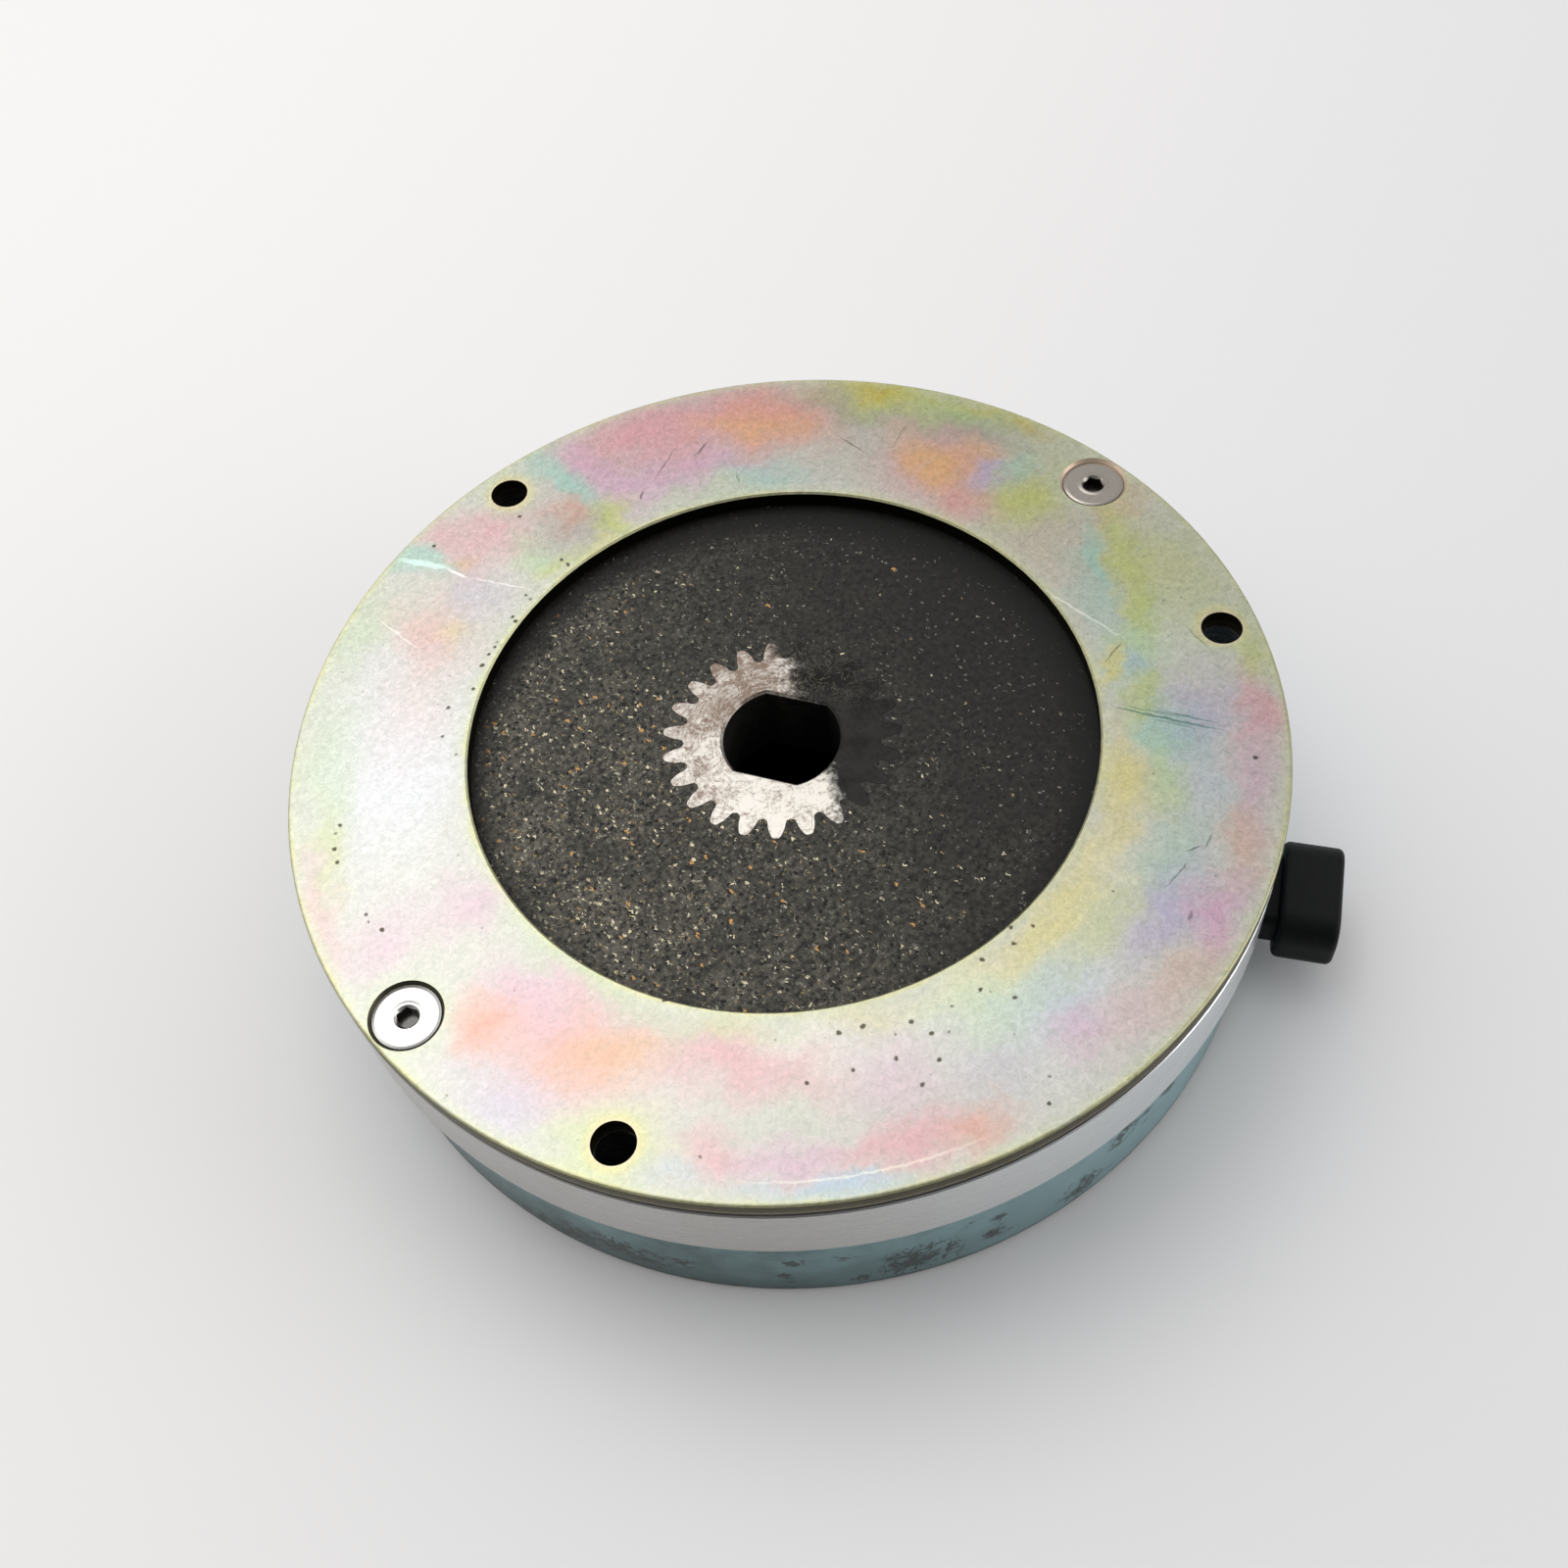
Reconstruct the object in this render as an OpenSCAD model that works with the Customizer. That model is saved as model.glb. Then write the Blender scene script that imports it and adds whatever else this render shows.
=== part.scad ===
// Spring-applied electric disc brake, lying on its magnet body with the friction side up.
// Origin: centre of the rear face. +Z is the shaft axis, towards the motor. Millimetres.
// The two countersunk screws lie on X, and one mounting hole lies on +Y.

/* [Flange ring] */
// Outer diameter of the flange ring and the spacer ring
flange_d = 154; // [148:1:166]
// Diameter of the flange's opening, through which the friction disc shows
opening_d = 98; // [84:1:106]
// Thickness of the flange ring
flange_t = 3; // [2.8:0.1:5]
// Radius of the flange's rounded outer edges
flange_edge_r = 0.5; // [0.3:0.1:1.2]
// Bevel round the flange's opening
opening_bevel = 0.3; // [0.1:0.1:0.8]

/* [Fixings] */
// Distance from the outer edge to the centres of the holes and screws
hole_inset = 6; // [5.8:0.1:6.4]
// Diameter of the through holes for the mounting bolts
mount_hole_d = 6.4; // [5:0.1:7]
// Number of mounting holes
mount_hole_count = 3; // [3, 5]
// Thread diameter of the countersunk screws
screw_d = 5; // [4:0.5:5.5]
// Head diameter of the countersunk screws
screw_head_d = 10; // [8.6:0.1:10]
// Length of a countersunk screw, head included
screw_l = 25; // [24:0.5:29]
// Depth of the screw head's top below the flange
screw_head_sink = 0.4; // [0.1:0.1:0.4]
// Width across flats of the screw's hexagon socket
screw_socket_af = 3; // [2.5:0.1:4]
// Depth of the screw's hexagon socket
screw_socket_depth = 1.8; // [1:0.1:2]
// Room between the socket's corners and the edge of its bevelled mouth
socket_mouth = 0.2; // [0.1:0.05:0.4]
// Radial room round a screw's shank and head
screw_clearance = 0.16; // [0.06:0.02:0.2]

/* [Brake stack] */
// Thickness of the gasket under the flange
gasket_t = 0.6; // [0.2:0.1:1]
// Distance of the gasket's rim inside the flange's outer edge
gasket_inset = 0.1; // [0.05:0.05:0.5]
// Thickness of the friction disc
disc_t = 8; // [6:0.5:12]
// Thickness of the armature plate
armature_t = 6; // [5:0.5:9]
// Travel of the armature when the coil is energised
air_gap = 0.4; // [0.3:0.1:1]
// Thickness of the brass shim that keeps the armature off the pole
shim_t = 0.2; // [0.1:0.1:0.5]

/* [Spacer ring] */
// Radial wall of the spacer ring
spacer_wall = 11; // [10.6:0.1:13]
// Bevel on the spacer ring's outer edges
spacer_bevel = 0.5; // [0.2:0.1:1]

/* [Friction disc] */
// Radial room between the friction disc and the spacer ring
disc_clearance = 2; // [1:0.25:3]
// Bevel on the friction disc's outer edges
disc_bevel = 0.6; // [0.2:0.1:1]

/* [Drive hub] */
// Number of teeth
teeth = 23; // [20:1:24]
// Tooth module, the pitch diameter for each tooth
tooth_module = 1.5; // [1.3:0.05:1.55]
// Length of the hub
hub_l = 14; // [10:0.5:14]
// Diameter of the shaft bore
shaft_d = 18.5; // [14:0.5:22]
// Distance between the two flats of the shaft bore
shaft_flats = 15.5; // [12:0.5:16]
// Bevel at both ends of the shaft bore
bore_bevel = 0.4; // [0.2:0.1:0.8]
// Direction that the flats face, in degrees from +X
flats_angle = 30; // [0:5:90]
// Room round each hub tooth in the friction disc
mesh_clearance = 0.06; // [0.04:0.01:0.1]

/* [Armature plate] */
// Radial room between the armature plate and the spacer ring
armature_clearance = 0.8; // [0.5:0.1:1.5]
// Radial room between the hub's teeth and the armature plate
hub_clearance = 1.75; // [1:0.25:3]
// Bevel on the armature plate's edges
armature_bevel = 0.5; // [0.2:0.1:1]

/* [Guide pins] */
// Number of guide pins
pin_count = 3; // [3]
// Diameter of a guide pin
pin_d = 5; // [4:0.5:6]
// Distance from the armature plate's edge to a guide pin's centre
pin_inset = 4; // [3.8:0.1:4.4]
// Depth of a guide pin in the magnet body
pin_seat_depth = 10; // [8:0.5:13]
// Radial running clearance of a guide pin in the armature plate
pin_clearance = 0.05; // [0.03:0.01:0.1]
// Distance of a guide pin's end below the friction disc
pin_end_gap = 0.5; // [0.3:0.1:1]

/* [Pressure springs] */
// Number of pressure springs
spring_count = 6; // [4:1:8]
// Outer diameter of a spring
spring_d = 9; // [7:0.5:9.5]
// Wire diameter of a spring
wire_d = 1.5; // [1:0.1:1.8]
// Turns of a spring, with the closed ones at its ends
spring_turns = 6; // [5:0.5:7]
// Depth of a spring's pocket
pocket_depth = 16; // [13:0.5:18]
// Radial room between a spring and its pocket
pocket_clearance = 0.3; // [0.2:0.1:0.5]

/* [Magnet body] */
// Height of the magnet body
magnet_h = 22; // [20:0.5:26]
// Distance by which the magnet body lies inside the spacer ring's edge
magnet_step = 1.6; // [0.5:0.1:1.8]
// Bevel on the magnet body's rear edge
magnet_bevel = 1; // [0.5:0.1:1.5]
// Diameter of the bore in the rear
rear_bore_d = 40; // [39.5:0.5:42]
// Share of the room inside the outer pole that the coil slot takes, in percent; the inner pole has the rest
coil_share = 56.75; // [54:0.25:60]
// Radial wall of the outer pole
outer_pole_wall = 18.4; // [18:0.1:19]
// Thickness of the magnet body's floor under the coil
floor_t = 5; // [4:0.25:5.5]

/* [Coil] */
// Room between the bobbin and the slot's walls
bobbin_clearance = 0.3; // [0.1:0.1:0.5]
// Wall of the bobbin
bobbin_wall = 1.5; // [1:0.1:2]
// Depth of the potting over the bobbin
potting_t = 1.6; // [1:0.1:2]
// Distance of the potting's face below the pole faces
potting_sink = 0.3; // [0.1:0.1:0.6]
// Distance from the bobbin's rim down to the tape round the winding
winding_inset = 1.6; // [1:0.1:3]
// Thickness of the insulating tape round the winding
tape_t = 0.4; // [0.2:0.1:0.6]

/* [Connector] */
// Direction of the connector, in degrees from +X
connector_angle = -55; // [-60:1:-50]
// Width of the connector's shroud, along the body's edge
shroud_w = 18.5; // [17.5:0.5:22]
// Height of the shroud, along the axis
shroud_h = 11.5; // [11:0.5:13]
// Length of the shroud
shroud_l = 9.3; // [8:0.1:14]
// Corner radius of the shroud
shroud_r = 4.4; // [3:0.1:5]
// Radius of the rounded edges at both ends of the shroud
shroud_edge_r = 1; // [0.4:0.1:1.2]
// Wall of the shroud
shroud_wall = 1.3; // [1:0.1:1.4]
// Thickness of the shroud's floor
shroud_floor = 1.8; // [1.2:0.1:2.5]
// Distance from the magnet body to the shroud
neck_out = 3.8; // [3:0.1:6]
// Width of the neck
neck_w = 13.4; // [12.5:0.1:14]
// Height of the neck
neck_h = 7; // [6:0.1:8]
// Corner radius of the neck
neck_r = 1.8; // [1:0.1:2.5]
// Distance by which the neck reaches into the magnet body
neck_in = 11.4; // [9:0.1:12]
// Room round the neck in its window
neck_clearance = 0.1; // [0.05:0.05:0.3]
// Width of the rubber seal round the neck
seal_w = 1.6; // [1:0.1:2]
// Length of the seal along the neck
seal_l = 3; // [2:0.25:4]
// Depth of the seal's outer face in the magnet body
seal_sink = 0.6; // [0.6:0.1:1]
// Width of a terminal blade
blade_w = 6.3; // [4.8:0.1:6.3]
// Thickness of a terminal blade
blade_t = 0.8; // [0.5:0.1:0.8]
// Distance between the two blades' centres
blade_pitch = 8; // [7.5:0.1:8.2]
// Distance of the blades' ends below the shroud's mouth
blade_sink = 1.2; // [0.6:0.1:2]
// Width of a blade's tail in the neck
tail_w = 1.6; // [1:0.1:1.8]
// Length of a tail inside the neck
tail_in = 3; // [2:0.1:3.5]
// Diameter of a lead wire
lead_d = 1.4; // [1:0.1:1.6]
// Wall of the sleeve over a lead's joint
sleeve_wall = 0.7; // [0.6:0.1:1]

/* [Hidden] */
$fn = 96;
// Overlap of a cutting shape past the face that it cuts
over = 1;
// Gap between pieces that are pressed, screwed or stuck together
seat_gap = 0.02;

// Levels, from the rear face up
magnet_top = magnet_h;
shim_top = magnet_top + shim_t;
armature_bottom = shim_top + air_gap;
armature_top = armature_bottom + armature_t;
disc_top = armature_top + disc_t;
spacer_top = disc_top - gasket_t;
spacer_h = spacer_top - magnet_top;
flange_bottom = disc_top;
flange_top = flange_bottom + flange_t;

// Radii, from the outside in
flange_r = flange_d / 2;
opening_r = opening_d / 2;
hole_circle_r = flange_r - hole_inset;
spacer_inner_r = flange_r - spacer_wall;
disc_r = spacer_inner_r - disc_clearance;
armature_r = spacer_inner_r - armature_clearance;
magnet_r = flange_r - magnet_step;
rear_bore_r = rear_bore_d / 2;
slot_outer_r = magnet_r - outer_pole_wall;
slot_inner_r = slot_outer_r - (slot_outer_r - rear_bore_r) * coil_share / 100;
slot_bottom = floor_t;

// Holes: one mounting hole on +Y, and the two screws on X
mount_angles = [for (i = [0 : mount_hole_count - 1]) 90 + i * 360 / mount_hole_count];
screw_angles = [0, 180];
mount_hole_r = mount_hole_d / 2;
gasket_hole_r = mount_hole_r + 0.2;
screw_r = screw_d / 2;
screw_head_r = screw_head_d / 2;
screw_top = flange_top - screw_head_sink;
screw_end = screw_top - screw_l;
screw_hole_depth = magnet_top - screw_end + 2;
countersink_r = screw_head_r + screw_head_sink + screw_clearance;
socket_mouth_r = screw_socket_af / 2 / cos(30) + socket_mouth;
socket_mouth_depth = 0.6;

// Teeth of standard full depth with 20 degree flanks
pressure_angle = 20;
pitch_r = teeth * tooth_module / 2;
tip_r = pitch_r + tooth_module;
root_r = pitch_r - 1.25 * tooth_module;
base_r = pitch_r * cos(pressure_angle);
flank_steps = 4;
root_steps = 4;
tip_round = 0.2 * tooth_module;
// A tooth gap lies on the direction that the flats face
tooth_start = flats_angle + 180 / teeth;
armature_bore_r = tip_r + hub_clearance;

pin_r = pin_d / 2;
pin_circle_r = armature_r - pin_inset;
pin_angles = [for (i = [0 : pin_count - 1]) 30 + i * 360 / pin_count];
pin_top = armature_top - pin_end_gap;
pin_bottom = magnet_top - pin_seat_depth;

spring_r = spring_d / 2;
spring_circle_r = (rear_bore_r + slot_inner_r) / 2;
spring_bottom = magnet_top - pocket_depth;
spring_top = armature_bottom - seat_gap;
pocket_r = spring_r + pocket_clearance;
spring_angles = [for (i = [0 : spring_count - 1]) i * 360 / spring_count];
coil_steps_per_turn = 9;
wire_sides = 6;

bobbin_inner_r = slot_inner_r + bobbin_clearance;
bobbin_outer_r = slot_outer_r - bobbin_clearance;
potting_top = magnet_top - potting_sink;
bobbin_top = potting_top - potting_t;
winding_outer_r = bobbin_outer_r - winding_inset - tape_t;
winding_inner_r = bobbin_inner_r + bobbin_wall;
tape_outer_r = winding_outer_r + tape_t;

connector_z = magnet_h / 2;
shroud_start = magnet_r + neck_out;
shroud_end = shroud_start + shroud_l;
cavity_start = shroud_start + shroud_floor;
neck_start = magnet_r - neck_in;
seal_end = magnet_r - seal_sink;
seal_start = seal_end - seal_l;
tail_start = neck_start - tail_in;
blade_end = shroud_end - blade_sink;
blade_tip = 1;
lead_r = lead_d / 2;
sleeve_r = lead_r + sleeve_wall;
lead_start = tape_outer_r;

// Places a shape at each of the given angles on a circle
module around(angles, radius) {
    for (a = angles) rotate(a) translate([radius, 0, 0]) children();
}

// A ring with bevelled outer edges, standing on z = 0
module bevelled_ring(outer_r, inner_r, height, top_bevel, bottom_bevel, inner_bevel = 0) {
    rotate_extrude() polygon([
        [inner_r + inner_bevel, 0],
        [outer_r - bottom_bevel, 0],
        [outer_r, bottom_bevel],
        [outer_r, height - top_bevel],
        [outer_r - top_bevel, height],
        [inner_r + inner_bevel, height],
        [inner_r, height - inner_bevel],
        [inner_r, inner_bevel]]);
}

// A rectangle with rounded corners, centred
module rounded_rect(w, h, r) {
    square([w - 2 * r, h], center = true);
    square([w, h - 2 * r], center = true);
    for (x = [-1, 1]) for (y = [-1, 1])
        translate([x * (w / 2 - r), y * (h / 2 - r)]) circle(r = r);
}

// A rounded bar along the connector's direction, between two distances from the axis
module connector_bar(start, end, w, h, r) {
    rotate(connector_angle) translate([start, 0, connector_z])
        rotate([90, 0, 90]) linear_extrude(end - start) rounded_rect(w, h, r);
}

// A bar like that, with the edges of both its ends rounded
module rounded_bar(start, end, w, h, r, edge_r) {
    hull() for (a = [0 : 22.5 : 90]) {
        setback = edge_r * (1 - sin(a));
        inset = edge_r * (1 - cos(a));
        connector_bar(start + setback, end - setback, w - 2 * inset, h - 2 * inset, r - inset);
    }
}

// Angle, in degrees, that an involute has turned at radius r
function involute_angle(r) =
    let (t = sqrt(max(pow(r / base_r, 2) - 1, 0))) t * 180 / PI - atan(t);

// Half of a tooth's angle at radius r
function half_tooth(r) = 90 / teeth + involute_angle(pitch_r) - involute_angle(max(r, base_r));

function polar(r, a) = [r * cos(a), r * sin(a)];

// The gap between two teeth ends in a full round
gap_half = 180 / teeth - half_tooth(base_r);
root_round = root_r * sin(gap_half) / (1 - sin(gap_half));
flank_start_r = (root_r + root_round) * cos(gap_half);

// Points on both sides of a tooth at radius r; share narrows it
function on_tooth(middle, side, r, share, grow) =
    polar(r, middle + side * (half_tooth(r) * share + grow * 180 / (PI * r)));

// One tooth's outline with the gap before it; grow widens it on every side
function tooth_outline(middle, grow) =
    let (gap = middle - 180 / teeth,
        gap_turn = (180 - 2 * gap_half) / root_steps,
        top = tip_r - tip_round,
        flank = [for (i = [1 : flank_steps]) flank_start_r + (top - flank_start_r) * i / flank_steps],
        rounded_r = tip_r - 0.3 * tip_round + grow)
    concat(
        [for (i = [0 : root_steps]) polar(root_r + root_round, gap)
            + polar(root_round - grow, gap - 90 - gap_half - i * gap_turn)],
        [for (r = flank) on_tooth(middle, -1, r, 1, grow)],
        [on_tooth(middle, -1, rounded_r, 0.85, grow)],
        [on_tooth(middle, -1, tip_r + grow, 0.5, grow)],
        [on_tooth(middle, 1, tip_r + grow, 0.5, grow)],
        [on_tooth(middle, 1, rounded_r, 0.85, grow)],
        [for (i = [flank_steps - 1 : -1 : 0]) on_tooth(middle, 1, flank[i], 1, grow)]);

// The toothed outline of the hub, and of its hole in the friction disc
module toothed_outline(grow = 0) {
    polygon([for (i = [0 : teeth - 1])
        for (p = tooth_outline(tooth_start + i * 360 / teeth, grow)) p]);
}

// Height of a spring's wire after a given number of turns: closed ends, open middle
function spring_rise(turn) =
    let (closed = 0.9, lift = wire_d * closed,
        length = spring_top - spring_bottom - wire_d,
        middle = length - 2 * lift)
    turn < closed ? turn * wire_d :
    turn > spring_turns - closed ? length - (spring_turns - turn) * wire_d :
    lift + middle * (turn - closed) / (spring_turns - 2 * closed);

// Points round the wire at one step of a spring
function wire_ring(step) =
    let (turn = step / coil_steps_per_turn,
        middle_r = (spring_d - wire_d) / 2,
        rise = spring_rise(turn) + wire_d / 2)
    [for (k = [0 : wire_sides - 1])
        let (b = 90 + k * 360 / wire_sides, r = middle_r + wire_d / 2 * cos(b))
        [r * cos(turn * 360), r * sin(turn * 360), rise + wire_d / 2 * sin(b)]];

module coil_spring() {
    steps = floor(spring_turns * coil_steps_per_turn);
    points = [for (s = [0 : steps]) each wire_ring(s)];
    sides = [for (s = [0 : steps - 1]) for (k = [0 : wire_sides - 1])
        let (next = (k + 1) % wire_sides, a = s * wire_sides, b = a + wire_sides)
        [a + k, b + k, b + next, a + next]];
    start = [for (k = [0 : wire_sides - 1]) k];
    end = [for (k = [wire_sides - 1 : -1 : 0]) steps * wire_sides + k];
    polyhedron(points, concat(sides, [start, end]), convexity = 8);
}

// Zinc plated steel ring that the friction disc rubs on, bolted to the motor
module flange_ring() {
    color("#cbc6a6") difference() {
        rotate_extrude() polygon(concat(
            [[opening_r, opening_bevel], [opening_r + opening_bevel, 0]],
            [for (a = [-90 : 22.5 : 0])
                [flange_r - flange_edge_r, flange_edge_r] + polar(flange_edge_r, a)],
            [for (a = [0 : 22.5 : 90])
                [flange_r - flange_edge_r, flange_t - flange_edge_r] + polar(flange_edge_r, a)],
            [[opening_r + opening_bevel, flange_t], [opening_r, flange_t - opening_bevel]]));
        around(mount_angles, hole_circle_r) translate([0, 0, -over])
            cylinder(r = mount_hole_r, h = flange_t + 2 * over);
        around(screw_angles, hole_circle_r) {
            translate([0, 0, -over]) cylinder(r = screw_r + screw_clearance, h = flange_t + 2 * over);
            translate([0, 0, flange_t - countersink_r])
                cylinder(r1 = 0, r2 = countersink_r + over, h = countersink_r + over);
        }
    }
}

// Countersunk socket screws that hold the brake together until it is bolted on
module flange_screws() {
    color("#d0d0ce") around(screw_angles, hole_circle_r) difference() {
        union() {
            translate([0, 0, screw_end]) cylinder(r = screw_r - seat_gap, h = screw_top - screw_end);
            translate([0, 0, screw_top - screw_head_r + screw_r - seat_gap])
                cylinder(r1 = screw_r - seat_gap, r2 = screw_head_r, h = screw_head_r - screw_r + seat_gap);
        }
        translate([0, 0, screw_top - screw_socket_depth])
            cylinder(d = screw_socket_af / cos(30), h = screw_socket_depth + over, $fn = 6);
        translate([0, 0, screw_top - socket_mouth_depth])
            cylinder(r1 = socket_mouth_r - socket_mouth_depth, r2 = socket_mouth_r + over,
                h = socket_mouth_depth + over);
    }
}

// Thin black gasket under the flange, level with the spacer ring's walls
module flange_gasket() {
    color("#161616") difference() {
        bevelled_ring(flange_r - gasket_inset, spacer_inner_r, gasket_t, 0, 0);
        around(mount_angles, hole_circle_r) translate([0, 0, -over])
            cylinder(r = gasket_hole_r, h = gasket_t + 2 * over);
        around(screw_angles, hole_circle_r) translate([0, 0, -over])
            cylinder(r = screw_r + screw_clearance, h = gasket_t + 2 * over);
    }
}

// Bright turned ring that sets the room for the disc, the armature and the air gap
module spacer_ring() {
    color("#9b9894") difference() {
        bevelled_ring(flange_r, spacer_inner_r, spacer_h, spacer_bevel, spacer_bevel);
        around(mount_angles, hole_circle_r) translate([0, 0, -over])
            cylinder(r = mount_hole_r, h = spacer_h + 2 * over);
        around(screw_angles, hole_circle_r) translate([0, 0, -over])
            cylinder(r = screw_r + screw_clearance, h = spacer_h + 2 * over);
    }
}

// Moulded friction disc, with its inner teeth on the hub
module friction_disc() {
    color("#3b3936") difference() {
        bevelled_ring(disc_r, 0, disc_t, disc_bevel, disc_bevel);
        translate([0, 0, -over]) linear_extrude(disc_t + 2 * over)
            toothed_outline(grow = mesh_clearance);
    }
}

// The shaft bore with its two flats, from z = 0 to height h; taper widens it upwards at 45 degrees
module shaft_bore(h, taper = 0) {
    half_flats = shaft_flats / 2;
    intersection() {
        cylinder(r1 = shaft_d / 2, r2 = shaft_d / 2 + taper * h, h = h);
        rotate(flats_angle) rotate([90, 0, 0]) linear_extrude(2 * shaft_d, center = true) polygon([
            [-half_flats, 0],
            [half_flats, 0],
            [half_flats + taper * h, h],
            [-half_flats - taper * h, h]]);
    }
}

// Steel hub that carries the disc's teeth on the motor shaft
module drive_hub() {
    color("#a09c95") difference() {
        linear_extrude(hub_l) toothed_outline();
        translate([0, 0, -over]) shaft_bore(hub_l + 2 * over);
        translate([0, 0, hub_l - bore_bevel]) shaft_bore(bore_bevel + over, 1);
        translate([0, 0, bore_bevel]) mirror([0, 0, 1]) shaft_bore(bore_bevel + over, 1);
    }
}

// Steel plate that the springs press on the disc and the magnet draws back
module armature_plate() {
    color("#83827e") difference() {
        bevelled_ring(armature_r, armature_bore_r, armature_t, armature_bevel, armature_bevel,
            armature_bevel);
        around(pin_angles, pin_circle_r) translate([0, 0, -over])
            cylinder(r = pin_r + pin_clearance, h = armature_t + 2 * over);
    }
}

// Brass shim on the outer pole, where the armature lands
module pole_shim() {
    color("#b59a52") difference() {
        bevelled_ring(armature_r, slot_outer_r, shim_t, 0, 0);
        around(pin_angles, pin_circle_r) translate([0, 0, -over])
            cylinder(r = pin_r + pin_clearance, h = shim_t + 2 * over);
    }
}

// Steel pins that keep the armature from turning
module guide_pins() {
    color("#b8b8b4") around(pin_angles, pin_circle_r)
        translate([0, 0, pin_bottom]) cylinder(r = pin_r, h = pin_top - pin_bottom);
}

// Compression springs in their pockets in the inner pole
module pressure_springs() {
    color("#77756f") around(spring_angles, spring_circle_r) coil_spring();
}

// Turned steel body of the electromagnet, with a slot for the coil
module magnet_body() {
    color("#6c8d90") difference() {
        bevelled_ring(magnet_r, rear_bore_r, magnet_h, spacer_bevel, magnet_bevel, spacer_bevel);
        translate([0, 0, slot_bottom]) difference() {
            cylinder(r = slot_outer_r, h = magnet_h);
            translate([0, 0, -over]) cylinder(r = slot_inner_r, h = magnet_h + 2 * over);
        }
        around(mount_angles, hole_circle_r) translate([0, 0, -over])
            cylinder(r = mount_hole_r, h = magnet_h + 2 * over);
        around(screw_angles, hole_circle_r) translate([0, 0, magnet_top - screw_hole_depth])
            cylinder(r = screw_r, h = screw_hole_depth + over);
        around(pin_angles, pin_circle_r) translate([0, 0, pin_bottom])
            cylinder(r = pin_r + seat_gap, h = pin_seat_depth + over);
        around(spring_angles, spring_circle_r) translate([0, 0, spring_bottom])
            cylinder(r = pocket_r, h = pocket_depth + over);
        connector_bar(slot_outer_r - over, magnet_r + over, neck_w + 2 * neck_clearance,
            neck_h + 2 * neck_clearance, neck_r + neck_clearance);
        connector_bar(seal_start, magnet_r + over, neck_w + 2 * seal_w,
            neck_h + 2 * seal_w, neck_r + seal_w);
    }
}

// Moulded bobbin, open outwards
module coil_bobbin() {
    color("#22262a") translate([0, 0, slot_bottom]) rotate_extrude() polygon([
        [bobbin_inner_r, 0],
        [bobbin_outer_r, 0],
        [bobbin_outer_r, bobbin_wall],
        [winding_inner_r, bobbin_wall],
        [winding_inner_r, bobbin_top - slot_bottom - bobbin_wall],
        [bobbin_outer_r, bobbin_top - slot_bottom - bobbin_wall],
        [bobbin_outer_r, bobbin_top - slot_bottom],
        [bobbin_inner_r, bobbin_top - slot_bottom]]);
}

// A ring between the bobbin's two rims
module ring_in_bobbin(outer_r, inner_r) {
    translate([0, 0, slot_bottom + bobbin_wall])
        bevelled_ring(outer_r, inner_r, bobbin_top - slot_bottom - 2 * bobbin_wall, 0, 0);
}

// Copper winding
module coil_winding() {
    color("#a5582c") ring_in_bobbin(winding_outer_r, winding_inner_r);
}

// Insulating tape round the winding
module coil_tape() {
    color("#c9a648") ring_in_bobbin(tape_outer_r, winding_outer_r);
}

// Resin that closes the coil slot
module coil_potting() {
    color("#1b1d1f") translate([0, 0, bobbin_top])
        bevelled_ring(slot_outer_r - seat_gap, slot_inner_r + seat_gap, potting_t, 0, 0);
}

// A round bar along the connector's direction, for one of its two leads
module lead_bar(start, end, radius, side) {
    rotate(connector_angle) translate([start, side * blade_pitch / 2, connector_z])
        rotate([0, 90, 0]) cylinder(r = radius, h = end - start);
}

// Insulated lead wires from the winding to the terminals
module lead_wires() {
    lead_end = tail_start;
    lead_foot = sqrt(pow(lead_start, 2) - pow(blade_pitch / 2 - lead_r, 2)) + seat_gap;
    color("#9c2f25") for (side = [-1, 1]) lead_bar(lead_foot, lead_end, lead_r, side);
}

// Shrunk sleeves over the leads' joints with the terminals
module lead_sleeves() {
    color("#2d2d2d") for (side = [-1, 1]) difference() {
        lead_bar(tail_start - tail_in / 3, neck_start - seat_gap, sleeve_r, side);
        lead_bar(tail_start - tail_in / 3 - over, tail_start, lead_r + seat_gap, side);
        rotate(connector_angle) translate([tail_start - over, side * blade_pitch / 2 - tail_w / 2
            - seat_gap, connector_z - blade_t / 2 - seat_gap])
            cube([tail_in + 2 * over, tail_w + 2 * seat_gap, blade_t + 2 * seat_gap]);
    }
}

// Moulded two-way connector: a neck through the body's wall and an open shroud
module connector_housing() {
    color("#1a1c1e") difference() {
        union() {
            connector_bar(neck_start, shroud_start + 2 * shroud_edge_r, neck_w, neck_h, neck_r);
            rounded_bar(shroud_start, shroud_end, shroud_w, shroud_h, shroud_r, shroud_edge_r);
        }
        connector_bar(cavity_start, shroud_end + over, shroud_w - 2 * shroud_wall,
            shroud_h - 2 * shroud_wall, shroud_r - shroud_wall);
        for (side = [-1, 1]) rotate(connector_angle)
            translate([neck_start - over, side * blade_pitch / 2 - tail_w / 2 - seat_gap,
                connector_z - blade_t / 2 - seat_gap])
                cube([cavity_start - neck_start + 2 * over, tail_w + 2 * seat_gap,
                    blade_t + 2 * seat_gap]);
    }
}

// Rubber seal round the neck, in the mouth of the body's window
module connector_seal() {
    color("#101112") difference() {
        connector_bar(seal_start, seal_end, neck_w + 2 * seal_w - 2 * seat_gap,
            neck_h + 2 * seal_w - 2 * seat_gap, neck_r + seal_w - seat_gap);
        connector_bar(seal_start - over, seal_end + over, neck_w + 2 * seat_gap,
            neck_h + 2 * seat_gap, neck_r + seat_gap);
    }
}

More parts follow.
